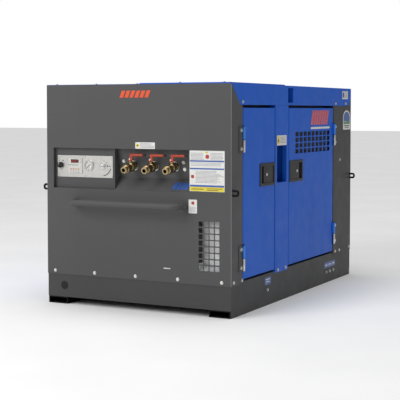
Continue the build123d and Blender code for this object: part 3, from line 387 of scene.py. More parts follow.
def facing_side(sign, depth, z, proud=0.0):
    """Local Y up and local Z out of the right side (sign 1) or the left side (sign -1)."""
    turn = Matrix(((0, 0, sign), (sign, 0, 0), (0, 1, 0))).to_4x4()
    return Matrix.Translation((sign * (SIDE + proud * MM), y_at(depth), z * MM)) @ turn


def facing_right(depth, z, proud=0.0):
    """Local X towards the rear, local Y up and local Z out of the right side."""
    return facing_side(1, depth, z, proud)


def facing_inwards(sign, depth, z, inset):
    """Local Y up and local Z towards the middle, from a place inside a side's face."""
    turn = Matrix(((0, 0, -sign), (sign, 0, 0), (0, 1, 0))).to_4x4()
    return Matrix.Translation((sign * (SIDE - inset * MM), y_at(depth), z * MM)) @ turn


def facing_rear(x, depth, z):
    """Local X towards the left side, local Y up and local Z to the rear."""
    turn = Matrix(((-1, 0, 0), (0, 0, 1), (0, 1, 0))).to_4x4()
    return Matrix.Translation((x * MM, y_at(depth), z * MM)) @ turn


def upright(x, depth, z):
    """World axes, moved to a place given in millimetres."""
    return Matrix.Translation((x * MM, y_at(depth), z * MM))


def on_circle(centre, radius, count, z):
    """Upright places evenly round a centre (X, depth), half a step from the X axis."""
    places = []
    for number in range(count):
        angle = 2 * math.pi * (number + 0.5) / count
        x, depth = radius * math.cos(angle), radius * math.sin(angle)
        places.append(upright(centre[0] + x, centre[1] + depth, z))
    return places


def rounded_outline(width, height, radius, steps=5):
    """Corner points of a rounded rectangle round the origin, in metres."""
    points = []
    for corner, (sx, sy) in enumerate(((1, 1), (-1, 1), (-1, -1), (1, -1))):
        for step in range(steps + 1):
            angle = math.radians(90 * corner + 90 * step / steps)
            x = sx * (width / 2 - radius) + radius * math.cos(angle)
            y = sy * (height / 2 - radius) + radius * math.sin(angle)
            points.append((x * MM, y * MM))
    return points


def slab(work, outline, low, high, bevel=0.0):
    """Solid between two heights with a flat outline, and a bevelled top edge."""
    bottom = [work.verts.new((x, y, low)) for x, y in outline]
    top = [work.verts.new((x, y, high)) for x, y in outline]
    work.faces.new(list(reversed(bottom)))
    cap = work.faces.new(top)
    count = len(outline)
    for index in range(count):
        after = (index + 1) % count
        work.faces.new((bottom[index], bottom[after], top[after], top[index]))
    if bevel:
        bmesh.ops.bevel(
            work, geom=list(cap.edges), offset=bevel, segments=2, profile=0.5, affect="EDGES"
        )


def rounded_plate(width, height, radius, thickness, bevel=0.0, centre=(0, 0), base=0.0):
    def build(work):
        outline = [
            (x + centre[0] * MM, y + centre[1] * MM)
            for x, y in rounded_outline(width, height, radius)
        ]
        slab(work, outline, base * MM, (base + thickness) * MM, bevel * MM)
    return build


def bars(rows, base, thickness=0.15):
    """Flat printed bars: each row is (centre x, centre y, width, height)."""
    def build(work):
        for x, y, width, height in rows:
            radius = min(width, height) * 0.3
            corners = rounded_outline(width, height, radius, 2)
            outline = [(px + x * MM, py + y * MM) for px, py in corners]
            slab(work, outline, base * MM, (base + thickness) * MM)
    return build


def circle(work, radius, height, segments):
    """Corners of a circle about local Z."""
    corners = []
    for step in range(segments):
        angle = 2 * math.pi * step / segments
        x, y = radius * math.cos(angle), radius * math.sin(angle)
        corners.append(work.verts.new((x * MM, y * MM, height * MM)))
    return corners


def walls(work, loops):
    """Faces from each closed loop of corners to the next."""
    for first, second in zip(loops, loops[1:]):
        for index in range(len(first)):
            after = (index + 1) % len(first)
            work.faces.new((first[index], first[after], second[after], second[index]))


def turned(profile, segments=48):
    """Solid of revolution about local Z. The profile is (radius, height) from axis to axis."""
    def build(work):
        rings = []
        for radius, height in profile:
            if radius < 1e-6:
                rings.append([work.verts.new((0, 0, height * MM))])
            else:
                rings.append(circle(work, radius, height, segments))
        for lower, upper in zip(rings, rings[1:]):
            for step in range(segments):
                after = (step + 1) % segments
                if len(lower) == 1:
                    work.faces.new((lower[0], upper[step], upper[after]))
                elif len(upper) == 1:
                    work.faces.new((lower[step], lower[after], upper[0]))
                else:
                    work.faces.new((lower[step], lower[after], upper[after], upper[step]))
    return build


def facing_slope(x, depth, z, tilt):
    """Like facing_front, leaned back by tilt degrees about X."""
    return facing_front(x, depth, z) @ Matrix.Rotation(math.radians(-tilt), 4, "X")


def ring(outer, inner, thickness, base=0.0, segments=64):
    """Flat washer shape, in millimetres."""
    top = base + thickness
    return tube_wall([(inner, base), (outer, base), (outer, top), (inner, top)], segments)


def tube_wall(profile, segments=48):
    """Closed profile of (radius, height) turned round local Z, with an open middle."""
    def build(work):
        loops = [circle(work, radius, height, segments) for radius, height in profile]
        walls(work, loops + loops[:1])
    return build


def arc_band(radius, width, start, end, base, thickness, steps=40):
    """Printed band along an arc, angles in degrees from local X."""
    def build(work):
        inner, outer = [], []
        for step in range(steps + 1):
            angle = math.radians(start + (end - start) * step / steps)
            across = (math.cos(angle) * MM, math.sin(angle) * MM)
            inner.append(((radius - width / 2) * across[0], (radius - width / 2) * across[1]))
            outer.append(((radius + width / 2) * across[0], (radius + width / 2) * across[1]))
        slab(work, inner + outer[::-1], base * MM, (base + thickness) * MM)
    return build


def polygons(outlines, base, thickness):
    """Flat shapes with straight sides, given as lists of (x, y) in millimetres."""
    def build(work):
        for outline in outlines:
            corners = [(x * MM, y * MM) for x, y in outline]
            slab(work, corners, base * MM, (base + thickness) * MM)
    return build


def rectangle(x, y, width, height):
    """Corners of a rectangle round its centre."""
    left, right = x - width / 2, x + width / 2
    bottom, top = y - height / 2, y + height / 2
    return [(left, bottom), (right, bottom), (right, top), (left, top)]


def slanted_bars(width, height, count, lean, fill=0.72):
    """Outlines of a row of equal leaning bars that fills a width."""
    pitch = (width - lean) / count
    outlines = []
    for number in range(count):
        left = -width / 2 + number * pitch
        right = left + pitch * fill
        foot = [(left, -height / 2), (right, -height / 2)]
        outlines.append(foot + [(right + lean, height / 2), (left + lean, height / 2)])
    return outlines


RIB_STEPS = 3  # loops of a ribbed hose from one rib to the next


def hose(points, radius, rib=0.0, pitch=6.0, segments=20):
    """Round hose through points given as (x, depth, z) in millimetres, ribbed if asked."""
    def build(work):
        nodes = [Vector((x * MM, y_at(y), z * MM)) for x, y, z in points]
        ends = [nodes[0] * 2 - nodes[1]] + nodes + [nodes[-1] * 2 - nodes[-2]]
        step_length = pitch * MM / (RIB_STEPS if rib else 1)
        path = []
        for index in range(1, len(ends) - 2):
            a, b, c, d = ends[index - 1:index + 3]
            count = max(4, int((c - b).length / step_length))
            for step in range(count):
                t = step / count
                bend = (2 * a - 5 * b + 4 * c - d) * t * t + (3 * b - a - 3 * c + d) * t * t * t
                path.append(0.5 * (2 * b + (c - a) * t + bend))
        path.append(nodes[-1])
        side = Vector((0.13, 0.21, 0.97))  # any direction that no hose runs along
        loops = []
        for index, centre in enumerate(path):
            along = (path[min(index + 1, len(path) - 1)] - path[max(index - 1, 0)]).normalized()
            side = (side - along * side.dot(along)).normalized()
            up = along.cross(side)
            size = (radius + (rib if index % RIB_STEPS == 0 else 0.0)) * MM
            loop = []
            for step in range(segments):
                angle = 2 * math.pi * step / segments
                out = math.cos(angle) * side + math.sin(angle) * up
                loop.append(work.verts.new(centre + size * out))
            loops.append(loop)
        walls(work, loops)
        work.faces.new(loops[0][::-1])
        work.faces.new(loops[-1])
    return build


def egg_crate(width, height, thickness, wave, pitch=26.0):
    """Foam sheet with a waved top, closed underneath, sizes in millimetres."""
    def build(work):
        columns = max(4, int(width / pitch * 6))
        rows = max(4, int(height / pitch * 6))
        top, bottom = [], []
        for row in range(rows + 1):
            y = -height / 2 + height * row / rows
            top_row, bottom_row = [], []
            for column in range(columns + 1):
                x = -width / 2 + width * column / columns
                swell = math.sin(2 * math.pi * x / pitch) * math.sin(2 * math.pi * y / pitch)
                top_z = (thickness - wave + wave * swell) * MM
                top_row.append(work.verts.new((x * MM, y * MM, top_z)))
                bottom_row.append(work.verts.new((x * MM, y * MM, 0)))
            top.append(top_row)
            bottom.append(bottom_row)
        for row in range(rows):
            for column in range(columns):
                for grid in (top, bottom):
                    near, far = grid[row], grid[row + 1]
                    work.faces.new((near[column], near[column + 1], far[column + 1], far[column]))
        rim = (
            [(0, column) for column in range(columns)]
            + [(row, columns) for row in range(rows)]
            + [(rows, column) for column in range(columns, 0, -1)]
            + [(row, 0) for row in range(rows, 0, -1)]
        )
        for index, (row, column) in enumerate(rim):
            next_row, after = rim[(index + 1) % len(rim)]
            upper = (top[row][column], top[next_row][after])
            work.faces.new(upper + (bottom[next_row][after], bottom[row][column]))
    return build


# ---- labels and badges -----------------------------------------------------------------
def label(name, place, size, layers, base=WHITE):
    """A film label, with printed bars on it given as (material, rows)."""
    print_on(name, rounded_plate(size[0], size[1], LABEL_CORNER, PAPER, 0.1), base, place)
    for number, (material, rows) in enumerate(layers, start=1):
        lift = PAPER + (number - 1) * INK_LIFT - INK_SUNK
        print_on(f"{name}_print_{number}", bars(rows, lift, INK_LIFT), material, place)


def text_lines(left, right, top, pitch, count, thickness=2.0, ragged=0.25, seed=1):
    """Rows of bars that stand for lines of small print."""
    draw = random.Random(seed)
    rows = []
    for number in range(count):
        end = right - (right - left) * ragged * draw.random()
        rows.append(((left + end) / 2, top - number * pitch, end - left, thickness))
    return rows


def make_front_labels():
    """Plain bars for the badge, and blank labels with lines for their print."""
    bands = polygons(slanted_bars(182, 34, 6, 14), 0.0, 1.2)
    print_on("front_badge", bands, ORANGE, facing_front(4, 0, 1052.5))
    label(
        "notice_label", facing_front(55.5, 0, 804.5), (109, 31),
        [
            (PRINT_YELLOW, [(-42, 0, 17, 17)]),
            (PRINT_GREY, text_lines(-28, 50, 9, 6, 4, 2.2, 0.2, 2)),
            (INK, [(-42, 0, 7, 7)]),
        ],
    )
    label(
        "data_label", facing_front(390, 0, 689), (184, 192),
        [
            (PRINT_GREY, text_lines(-86, -14, 84, 6, 6, 2.2, 0.2, 3)
             + text_lines(18, 86, 84, 6, 6, 2.2, 0.2, 4)
             + text_lines(-86, 86, 38, 6, 3, 2.0, 0.1, 5)
             + text_lines(-60, 86, 0, 6, 10, 2.2, 0.3, 6)),
            (PRINT_BLUE, [(0, 47, 180, 7), (0, 11, 180, 7), (0, -70, 180, 9)]),
            (PRINT_YELLOW, [(-3, 88, 14, 8), (0, -85, 182, 20)]),
            (PRINT_RED, [(2, 68, 19, 19), (-76, -27, 16, 16)]),
            (INK, [(-50, -85, 62, 3.0), (40, -82, 80, 2.4), (30, -89, 60, 2.4)]),
        ],
    )
    label(
        "small_label", facing_front(315, 0, 520.5), (44, 65),
        [
            (PRINT_RED, [(0, 16, 15, 15)]),
            (PRINT_GREY, text_lines(-17, 17, -4, 5.5, 5, 2.0, 0.2, 7)),
        ],
    )
    chin_depth, chin_rise = 54, 59  # the sloping sheet under the valves
    badge_z = 612
    depth = 3 + (badge_z - 586) * chin_depth / chin_rise
    slope = math.degrees(math.atan2(chin_depth, chin_rise))
    bands = polygons(slanted_bars(100, 42, 4, 10, 0.86), 0.05, 0.8)
    print_on("chin_badge", bands, PRINT_BLUE, facing_slope(242, depth, badge_z, slope))


def make_side_labels():
    """Labels and stripes on the right side."""
    label(
        "pillar_placard", facing_right(594.5, 821.5), (123, 51),
        [
            (PRINT_YELLOW, [(-44, 0, 31, 44)]),
            (PRINT_GREY, text_lines(-22, 56, 16, 7, 5, 2.6, 0.2, 8)),
            (INK, [(-44, -2, 12, 14)]),
        ],
    )
    stripes = polygons(slanted_bars(286, 78, 7, 30), 0.0, 0.5)
    print_on("door_stripes", stripes, ORANGE, facing_right(1137, 934.5), "rear_door_right")
    strip = bars([(0, 0, 286, 11)], 0.0, 0.4)
    print_on("door_strip", strip, WHITE, facing_right(1137, 878), "rear_door_right")
    label(
        "flange_label", facing_right(1535, 1062), (98, 46),
        [
            (PRINT_BLUE, [(-28, 0, 30, 32)]),
            (PRINT_GREY, text_lines(-6, 44, 15, 7, 5, 2.4, 0.2, 9)),
        ],
    )
    arch = [(61, 14)]
    for step in range(1, 24):
        angle = math.radians(180 * step / 24)
        arch.append((61 * math.cos(angle), 14 + 42 * math.sin(angle)))
    arch.append((-61, 14))
    place = facing_right(1564, 917.5)
    outline = [(-61, -56), (61, -56)] + arch
    print_on("arched_label", polygons([outline], 0.0, PAPER), WHITE, place)
    ink_base = PAPER - INK_SUNK
    sky = [(-52, -8), (52, -8)] + [(x * 0.86, 2 + (y - 2) * 0.86) for x, y in arch]
    print_on("arched_label_sky", polygons([sky], ink_base, INK_LIFT), PRINT_BLUE, place)
    field = [(-52, -24), (52, -24), (52, -9), (20, -5), (-10, -11), (-52, -9)]
    print_on("arched_label_field", polygons([field], PAPER, INK_LIFT), PRINT_GREEN, place)
    lines = bars([(0, -34, 88, 6), (0, -45, 70, 4)], ink_base, INK_LIFT)
    print_on("arched_label_text", lines, INK, place)
    words = [(x, 0, 34, 5) for x in (-56, 0, 56)]
    base_face = -3.0  # the base is this far inside the panels
    place = facing_right(1304.5, 99, base_face)
    label("drain_label", place, (167, 30), [(WHITE, words)], base=PRINT_BLUE)
    words = [(0, 8, 50, 4), (0, -4, 40, 4)]
    place = facing_right(429.5, 122.5, base_face)
    label("plug_label", place, (75, 37), [(WHITE, words)], base=PRINT_BLUE)


# ---- front controls --------------------------------------------------------------------
def seven_segment(digit_x, height=9.0, width=4.6, stroke=1.0):
    """The six outer segments of a zero, as bar rows."""
    rows = []
    for y in (-height / 2, height / 2):
        rows.append((digit_x, y, width - stroke, stroke))
    for x in (-width / 2, width / 2):
        for y in (-height / 4, height / 4):
            rows.append((digit_x + x, y, stroke, height / 2 - stroke))
    return rows


def make_display():
    """Dark window with five digits, and the film with its four lamps."""
    window = facing_front(-360, INSTRUMENT_FACE - 1.0, 720.5)
    pane = rounded_plate(45.4, 16.6, 0.8, 1.2, 0.2)
    piece("display_window", pane, DARK_GLASS, "enclosure", window)
    digits = [row for number in range(5) for row in seven_segment(-16 + number * 8.0)]
    print_on("display_digits", bars(digits, 1.2, 0.1), RED_LAMP, window)
    film_face = INSTRUMENT_FACE - 2.0
    film = facing_front(-359, film_face, 697.5)
    print_on("display_rule", bars([(-11, 3.5, 60, 2.2)], 0.0, INK_LIFT), INK, film)
    lamp_pitch = 15
    notes = [(-24 + number * lamp_pitch, -25, 10, 1.6) for number in range(4)]
    notes += [(-24 + number * lamp_pitch, -33, 12, 2.4) for number in range(4)]
    notes += [(34, y, 12, 1.8) for y in (32, 24, 16)]
    print_on("display_notes", bars(notes, 0.0, INK_LIFT), PRINT_GREY, film)
    border = [(0, 38.2, 83, 0.8), (0, -38.2, 83, 0.8), (-41.5, 0, 0.8, 76), (41.5, 0, 0.8, 76)]
    print_on("display_border", bars(border, 0.0, INK_LIFT), PRINT_GREY, film)
    dome = [(0, 0), (3.2, 0), (3.2, 1.2), (2.6, 2.6), (1.2, 3.4), (0, 3.6)]
    for number, material in enumerate((RED_LAMP, RED_LAMP, AMBER_LAMP, AMBER_LAMP)):
        lamp = facing_front(-383 + number * lamp_pitch, film_face, 681)
        fitting(f"fault_lamp_{number + 1}", turned(dome, 24), material, lamp)


def make_gauge():
    """Bezel, dial with its ticks and red zone, and the lens in front of the needle."""
    x, z = GAUGE
    rim = facing_front(x, INSTRUMENT_FACE - 6.0, z)
    print_on("gauge_bezel", ring(25.6, 22.2, 0.4), PRINT_TAN, rim)
    dial = facing_front(x, INSTRUMENT_FACE - 1.0, z)
    dial_top = 0.3
    print_on("gauge_dial", ring(21.8, 1.6, dial_top), WHITE, dial)
    ticks = []
    for number in range(28):
        angle = math.radians(225 - 270 * number / 27)
        long = number % 9 == 0
        inner, outer = (14.5 if long else 16.5), 19.0
        half_width = 0.55 if long else 0.3
        along, beside = math.cos(angle), math.sin(angle)
        ticks.append([
            (reach * along - side * beside, reach * beside + side * along)
            for reach, side in (
                (inner, half_width), (inner, -half_width), (outer, -half_width), (outer, half_width)
            )
        ])
    print_on("gauge_ticks", polygons(ticks, dial_top, INK_LIFT), INK, dial)
    red_zone = arc_band(17.6, 2.0, -45, -10, dial_top, INK_LIFT * 0.8)
    print_on("gauge_red_zone", red_zone, PRINT_RED, dial)
    lens = [(0, 4.1), (21.9, 4.1), (21.9, 4.7), (15, 5.1), (0, 5.4)]
    fitting("gauge_lens", turned(lens, 64), GLASS, dial)


def make_switches():
    """Rings and marks round the starter key, and the knurled skirt of the knob."""
    key = facing_front(KEY[0], INSTRUMENT_FACE, KEY[1])
    surround = ring(21.5, 15.3, 0.4)
    piece("key_surround", surround, BRUSHED, "enclosure", key)
    marks = [(28, 0, 9, 7), (40, 0, 7, 5)]
    for angle in (40, 75):
        across = (math.cos(math.radians(angle)), math.sin(math.radians(angle)))
        marks.append((27 * across[0], 27 * across[1], 4.5, 4.5))
    print_on("key_marks", bars(marks, 0.0, INK_LIFT), INK, key)
    print_on("key_arc", arc_band(47, 4.2, -84, -14, 0.0, INK_LIFT), INK, key)
    collar = tube_wall([(7.8, 4.0), (14.2, 4.0), (13.6, 5.2), (9.2, 5.6), (7.8, 5.2)])
    fitting("key_collar", collar, CHROME, key)
    knob = facing_front(KNOB[0], INSTRUMENT_FACE, KNOB[1])
    marks = [(13, 23, 6, 4), (-10, 23, 6, 3), (0, -22, 16, 2)]
    print_on("knob_marks", bars(marks, 0.0, INK_LIFT), INK, knob)
    print_on("knob_line", bars([(0, 6, 1.6, 12)], 20.0, 0.3), WHITE, knob, "knob")
    grip = facing_front(KNOB[0], INSTRUMENT_FACE - 13.2, KNOB[1])
    knurl = []
    for number in range(24):
        for reach, offset in ((13.9, -3.6), (14.6, 3.6)):
            turn = math.radians(number * 15 + offset)
            knurl.append((reach * math.cos(turn), reach * math.sin(turn)))
    piece("knob_skirt", polygons([knurl], -11.5, 9.0), BLACK_PLASTIC, "knob", grip)


def lever_place(x):
    """Valve lever's own axes: X along the grip and Z up the stem, from the ball's centre."""
    back = Vector((0, math.cos(WALL_TILT), math.sin(WALL_TILT)))
    up = Vector((0, -math.sin(WALL_TILT), math.cos(WALL_TILT)))
    wall_depth = WALL_TOP[0] + (WALL_TOP[1] - VALVE_Z) * math.tan(WALL_TILT)
    centre = Vector((x * MM, y_at(wall_depth), VALVE_Z * MM)) - back * BALL_REACH * MM
    turn = Matrix(((1, 0, 0), (0, back.y, up.y), (0, back.z, up.z))).to_4x4()
    return Matrix.Translation(centre) @ turn


def make_lever_details():
    """A black block at each lever's end as painted shade there, a nut on each lever, and a washer
    behind each valve.
    """
    for number, x in enumerate(VALVES, start=1):
        place = lever_place(x)
        body = f"valve_{number}_lever"
        # Black block at the lever's end: painted shade where the end is dark.
        tip = rounded_plate(13.5, 11.2, 2.5, 9.2, 1.5, (80.8, 0), 54.4)
        fitting(f"lever_end_shade_{number}", tip, BLACK_PLASTIC, place, body)
        nut = [(0, 36.2), (9.0, 36.2), (9.0, 41.0), (8.0, 42.0)]
        nut += [(4.5, 42.0), (4.5, 45.0), (0, 45.4)]
        piece(f"lever_nut_{number}", turned(nut, 6), ZINC, body, place)
        lie = place @ Matrix.Rotation(math.radians(90), 4, "X")
        washer = tube_wall([(21.0, -31.8), (24.5, -31.8), (24.0, -29.6), (21.0, -29.6)])
        fitting(f"valve_washer_{number}", washer, ZINC, lie)


def make_pocket_shade():
    """A dark sheet at the back of each pillar pocket, as painted shade deep in the pocket; it takes
    the foam material.
    """
    lining = rounded_plate(152, 207, 3, 3, 1)
    for side, sign in SIGNS.items():
        place = facing_side(sign, 597, 702.5, -75.8)
        piece(f"pocket_shade_sheet_{side}", lining, FOAM, "enclosure", place)


def make_front_plug():
    """Rubber blanking plug in the base."""
    plug = [(0, -4.5), (15.5, -4.5), (17.6, -1.0), (17.6, 0.0), (20.5, 0.0)]
    plug += [(20.5, 1.2), (18.5, 2.2), (8, 2.4), (0, 1.6)]
    fitting("cable_plug", turned(plug), RUBBER, facing_front(-416, 3, 94))


def make_corner_highlights():
    """Painted highlight along the folded corners of the front panel: lighter paint where the fold
    catches the light.
    """
    inner, outer = CORNER_BEND * MM, (CORNER_BEND + 0.2) * MM
    bottom, top = PANEL_LOW[2] + 2 * MM, PANEL_HIGH[2] - 4 * MM
    for side, sign in SIGNS.items():
        outline = []
        for radius, steps in ((outer, range(9)), (inner, range(8, -1, -1))):
            for step in steps:
                angle = math.radians(20 + 50 * step / 8)
                x = SIDE - inner + radius * math.cos(angle)
                y = FRONT + inner - radius * math.sin(angle)
                outline.append((sign * x, y))

        def build(work, outline=tuple(outline)):
            slab(work, outline, bottom, top)
        fitting(f"corner_edge_{side}", build, CORNER_HIGHLIGHT_GREY)


def make_intake_screen():
    """A pale lining at the back of the intake duct, a dark pad on its left wall as painted shade
    there, and a clip in the slot below it.
    """
    middle_z = 361
    back = facing_front(400, 55.4, middle_z)
    lining = rounded_plate(121, 222, 2, 1.2, 0.3)
    piece("duct_lining", lining, FILTER_MESH, "enclosure", back)
    # Dark foam pad on the duct's left wall: painted shade on that wall.
    left_wall = facing_right(29, middle_z, 338.6 - SIDE / MM)
    pad = rounded_plate(46, 222, 1, 2.0, 0.5)
    piece("duct_shade_pad", pad, FOAM, "enclosure", left_wall)
    clip = rounded_plate(37, 5, 1.5, 1.6, 0.4)
    piece("slot_clip", clip, ZINC, "enclosure", facing_front(174.5, 2.0, 217))


# ---- doors -----------------------------------------------------------------------------
def make_latch_details():
    """Key cylinder and two screws on each latch paddle."""
    barrel = [(0, 0), (7.6, 0), (7.6, 0.8), (6.8, 1.5), (2.2, 1.5), (2.2, 0.9), (0, 0.9)]
    screw = [(0, 1.9), (3.6, 1.9), (3.2, 3.0), (0, 3.2)]
    for door in ("front", "rear"):
        for side, sign in SIGNS.items():
            low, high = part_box(f"{door}_latch_paddle_{side}")
            z = (low[2] + high[2]) / 2 / MM
            pivot, along = (low[1], 1) if door == "rear" else (high[1], -1)
            depth = (pivot - FRONT) / MM + along * LOCK_REACH
            body = f"{door}_paddle_{side}"
            lock = facing_side(sign, depth, z, 2.5)
            fitting(f"{door}_lock_{side}", turned(barrel, 36), CHROME, lock, body)
            slot = bars([(0, 0, 1.3, 8.0)], 1.5, 0.1)
            piece(f"{door}_lock_slot_{side}", slot, INK, body, lock)
            for number, rise in enumerate((-24, 24), start=1):
                name = f"{door}_latch_stud_{number}_{side}"
                stud = facing_side(sign, depth, z + rise, -0.9)
                fitting(name, turned(screw, 20), BLACK_PLASTIC, stud, body)


def sleeve(bottom, top):
    """Thin tube round a hinge, chamfered at both ends."""
    inner, edge, outer = BARREL + 0.05, BARREL + 0.4, BARREL + 0.5
    lower = [(inner, bottom), (edge, bottom), (outer, bottom + 1)]
    return tube_wall(lower + [(outer, top - 1), (edge, top), (inner, top)], 32)


def make_hinge_sleeves():
    """Zinc sleeve, upper knuckle in a lighter blue as its painted highlight, and black cap on each
    hinge.
    """
    cap = [(0, 124.3), (5.2, 124.3), (5.4, 125.5), (4.6, 127.2), (2.5, 128.0), (0, 128.2)]
    for side, sign in SIGNS.items():
        for end, depth in HINGE_LINES.items():
            for number, z in enumerate(HINGE_HEIGHTS, start=1):
                hinge = f"{end}_{number}_{side}"
                foot = upright(sign * (SIDE / MM + HINGE_PROUD), depth, z - HINGE_HALF)
                fitting(f"hinge_sleeve_{hinge}", sleeve(1.5, 60.0), ZINC, foot)
                # The door's upper knuckle gets the lighter blue, a painted highlight.
                fitting(
                    f"door_knuckle_{hinge}", sleeve(63.5, 122.5), KNUCKLE_HIGHLIGHT_BLUE,
                    foot, f"{end}_door_{side}",
                )
                tip = turned(cap, 28)
                fitting(f"hinge_cap_{hinge}", tip, BLACK_PLASTIC, foot)


def make_door_linings():
    """Acoustic foam inside the doors, and a baffle behind each rear door's grille."""
    spans = {"front": [(180, 590), (728, 976)], "rear": [(180, 590)]}
    for door, (near, far) in DOOR_EDGES.items():
        for side, sign in SIGNS.items():
            body = f"{door}_door_{side}"
            for number, (bottom, top) in enumerate(spans[door], start=1):
                crate = egg_crate(far - near - 16, top - bottom, 17.5, 3.0, 30.0)
                place = facing_inwards(sign, (near + far) / 2, (bottom + top) / 2, 3.2)
                name = f"{door}_lining_{number}_{side}"
                smooth(piece(name, crate, FOAM, body, place), 60)
            if door == "rear":
                baffle = rounded_plate(620, 250, 8, 8, 1.0)
                place = facing_inwards(sign, 1013, 852, 14)
                piece(f"grille_baffle_{side}", baffle, FOAM, body, place)


def make_rear_details():
    """A blank data plate with its rules and rivets."""
    place = facing_rear(330, REAR_FACE, 980)
    plate = rounded_plate(120, 70, 4, 0.8, 0.2)
    piece("rear_plate", plate, BRUSHED, "enclosure", place)
    rows = [(0, 24 - number * 12, 100, 1.2) for number in range(5)]
    print_on("rear_plate_rules", bars(rows, 0.8, 0.1), INK, place)
    rivet = [(0, 0.7), (2.6, 0.7), (2.2, 1.9), (0, 2.2)]
    for number, (x, y) in enumerate(((-55, 30), (55, 30), (-55, -30), (55, -30)), start=1):
        spot = place @ Matrix.Translation((x * MM, y * MM, 0))
        fitting(f"rear_rivet_{number}", turned(rivet, 20), ZINC, spot)


def make_roof_details():
    """Edging of the lifting hatch, and the exhaust's collar with its screws."""
    def edging(work):
        outer = rounded_outline(162, 82, 6)
        inner = rounded_outline(147, 66, 3)
        top = 2.2 * MM
        loops = []
        for outline, z in ((outer, 0.0), (outer, top), (inner, top), (inner, 0.0)):
            loops.append([work.verts.new((x, y, z)) for x, y in outline])
        walls(work, loops + loops[:1])
    hatch = upright(0, 710.5, ROOF_TOP)
    piece("hatch_edging", edging, RUBBER, "enclosure", hatch)
    collar = tube_wall([(39, 0), (54, 0), (54, 1.6), (41, 5.0), (39, 5.0)])
    hole = upright(*EXHAUST, ROOF_TOP)
    fitting("exhaust_collar", collar, HOT_STEEL, hole)
    screw = [(0, 1.4), (4, 1.4), (3.4, 3.0), (0, 3.4)]
    for number, place in enumerate(on_circle(EXHAUST, 47, 4, ROOF_TOP), start=1):
        fitting(f"collar_screw_{number}", turned(screw, 20), ZINC, place)


# ---- inside ----------------------------------------------------------------------------
def make_radiator_fins():
    """Upright fins and flat tubes on the rear of the radiator's core."""
    place = facing_rear(0, 1445, 620)
    outlines = [rectangle(-294 + number * 6, 0, 1.2, 436) for number in range(99)]
    fins = polygons(outlines, 0.0, 4)
    piece("radiator_fins", fins, CORE_BLACK, "enclosure", place)
    outlines = [rectangle(0, -210 + number * 20, 594, 3) for number in range(22)]
    tubes = polygons(outlines, 0.0, 2.5)
    piece("radiator_tubes", tubes, CAST_ALLOY, "enclosure", place)


# Each hose has a radius, the height of its ribs, a material and points (X, depth, Z).
HOSES = {
    "upper_hose": (20, 0.0, RUBBER, [
        (30, 1170, 655), (32, 1172, 720), (62, 1188, 800),
        (95, 1255, 866), (100, 1330, 872), (100, 1378, 872),
    ]),
    "lower_hose": (20, 0.0, RUBBER, [
        (-58, 1172, 600), (-110, 1175, 592), (-186, 1200, 500),
        (-250, 1262, 392), (-258, 1340, 370), (-258, 1380, 370),
    ]),
    "intake_hose": (36, 2.5, BLACK_PLASTIC, [
        (45, 490, 545), (45, 492, 640), (110, 555, 770),
        (205, 670, 850), (235, 760, 860), (235, 803, 860),
    ]),
    "oil_return": (11, 0.0, RUBBER, [
        (100, 430, 330), (150, 400, 250), (215, 360, 210), (262, 330, 205),
    ]),
    "discharge_hose": (18, 0.0, RUBBER, [
        (90, 560, 460), (130, 540, 480), (160, 430, 484), (158, 372, 480),
    ]),
    "fuel_line": (5, 0.0, RUBBER, [
        (-200, 560, 405), (-180, 640, 420), (-172, 760, 470), (-150, 870, 520), (-132, 930, 555),
    ]),
    "wiring_loom": (13, 1.2, BLACK_PLASTIC, [
        (-250, 146, 640), (-240, 220, 700), (-190, 420, 720),
        (-120, 640, 690), (-88, 740, 640), (-80, 770, 610),
    ]),
    "battery_lead": (7, 0.0, RED_VINYL, [
        (-440, 795, 290), (-420, 760, 300), (-330, 735, 290), (-235, 760, 300), (-190, 800, 330),
    ]),
    "earth_lead": (7, 0.0, RUBBER, [
        (-440, 975, 290), (-400, 1010, 296), (-320, 1040, 250), (-260, 1060, 200), (-240, 1075, 120),
    ]),
}


def make_hoses():
    for name, (radius, rib, material, points) in HOSES.items():
        fitting(name, hose(points, radius, rib), material)


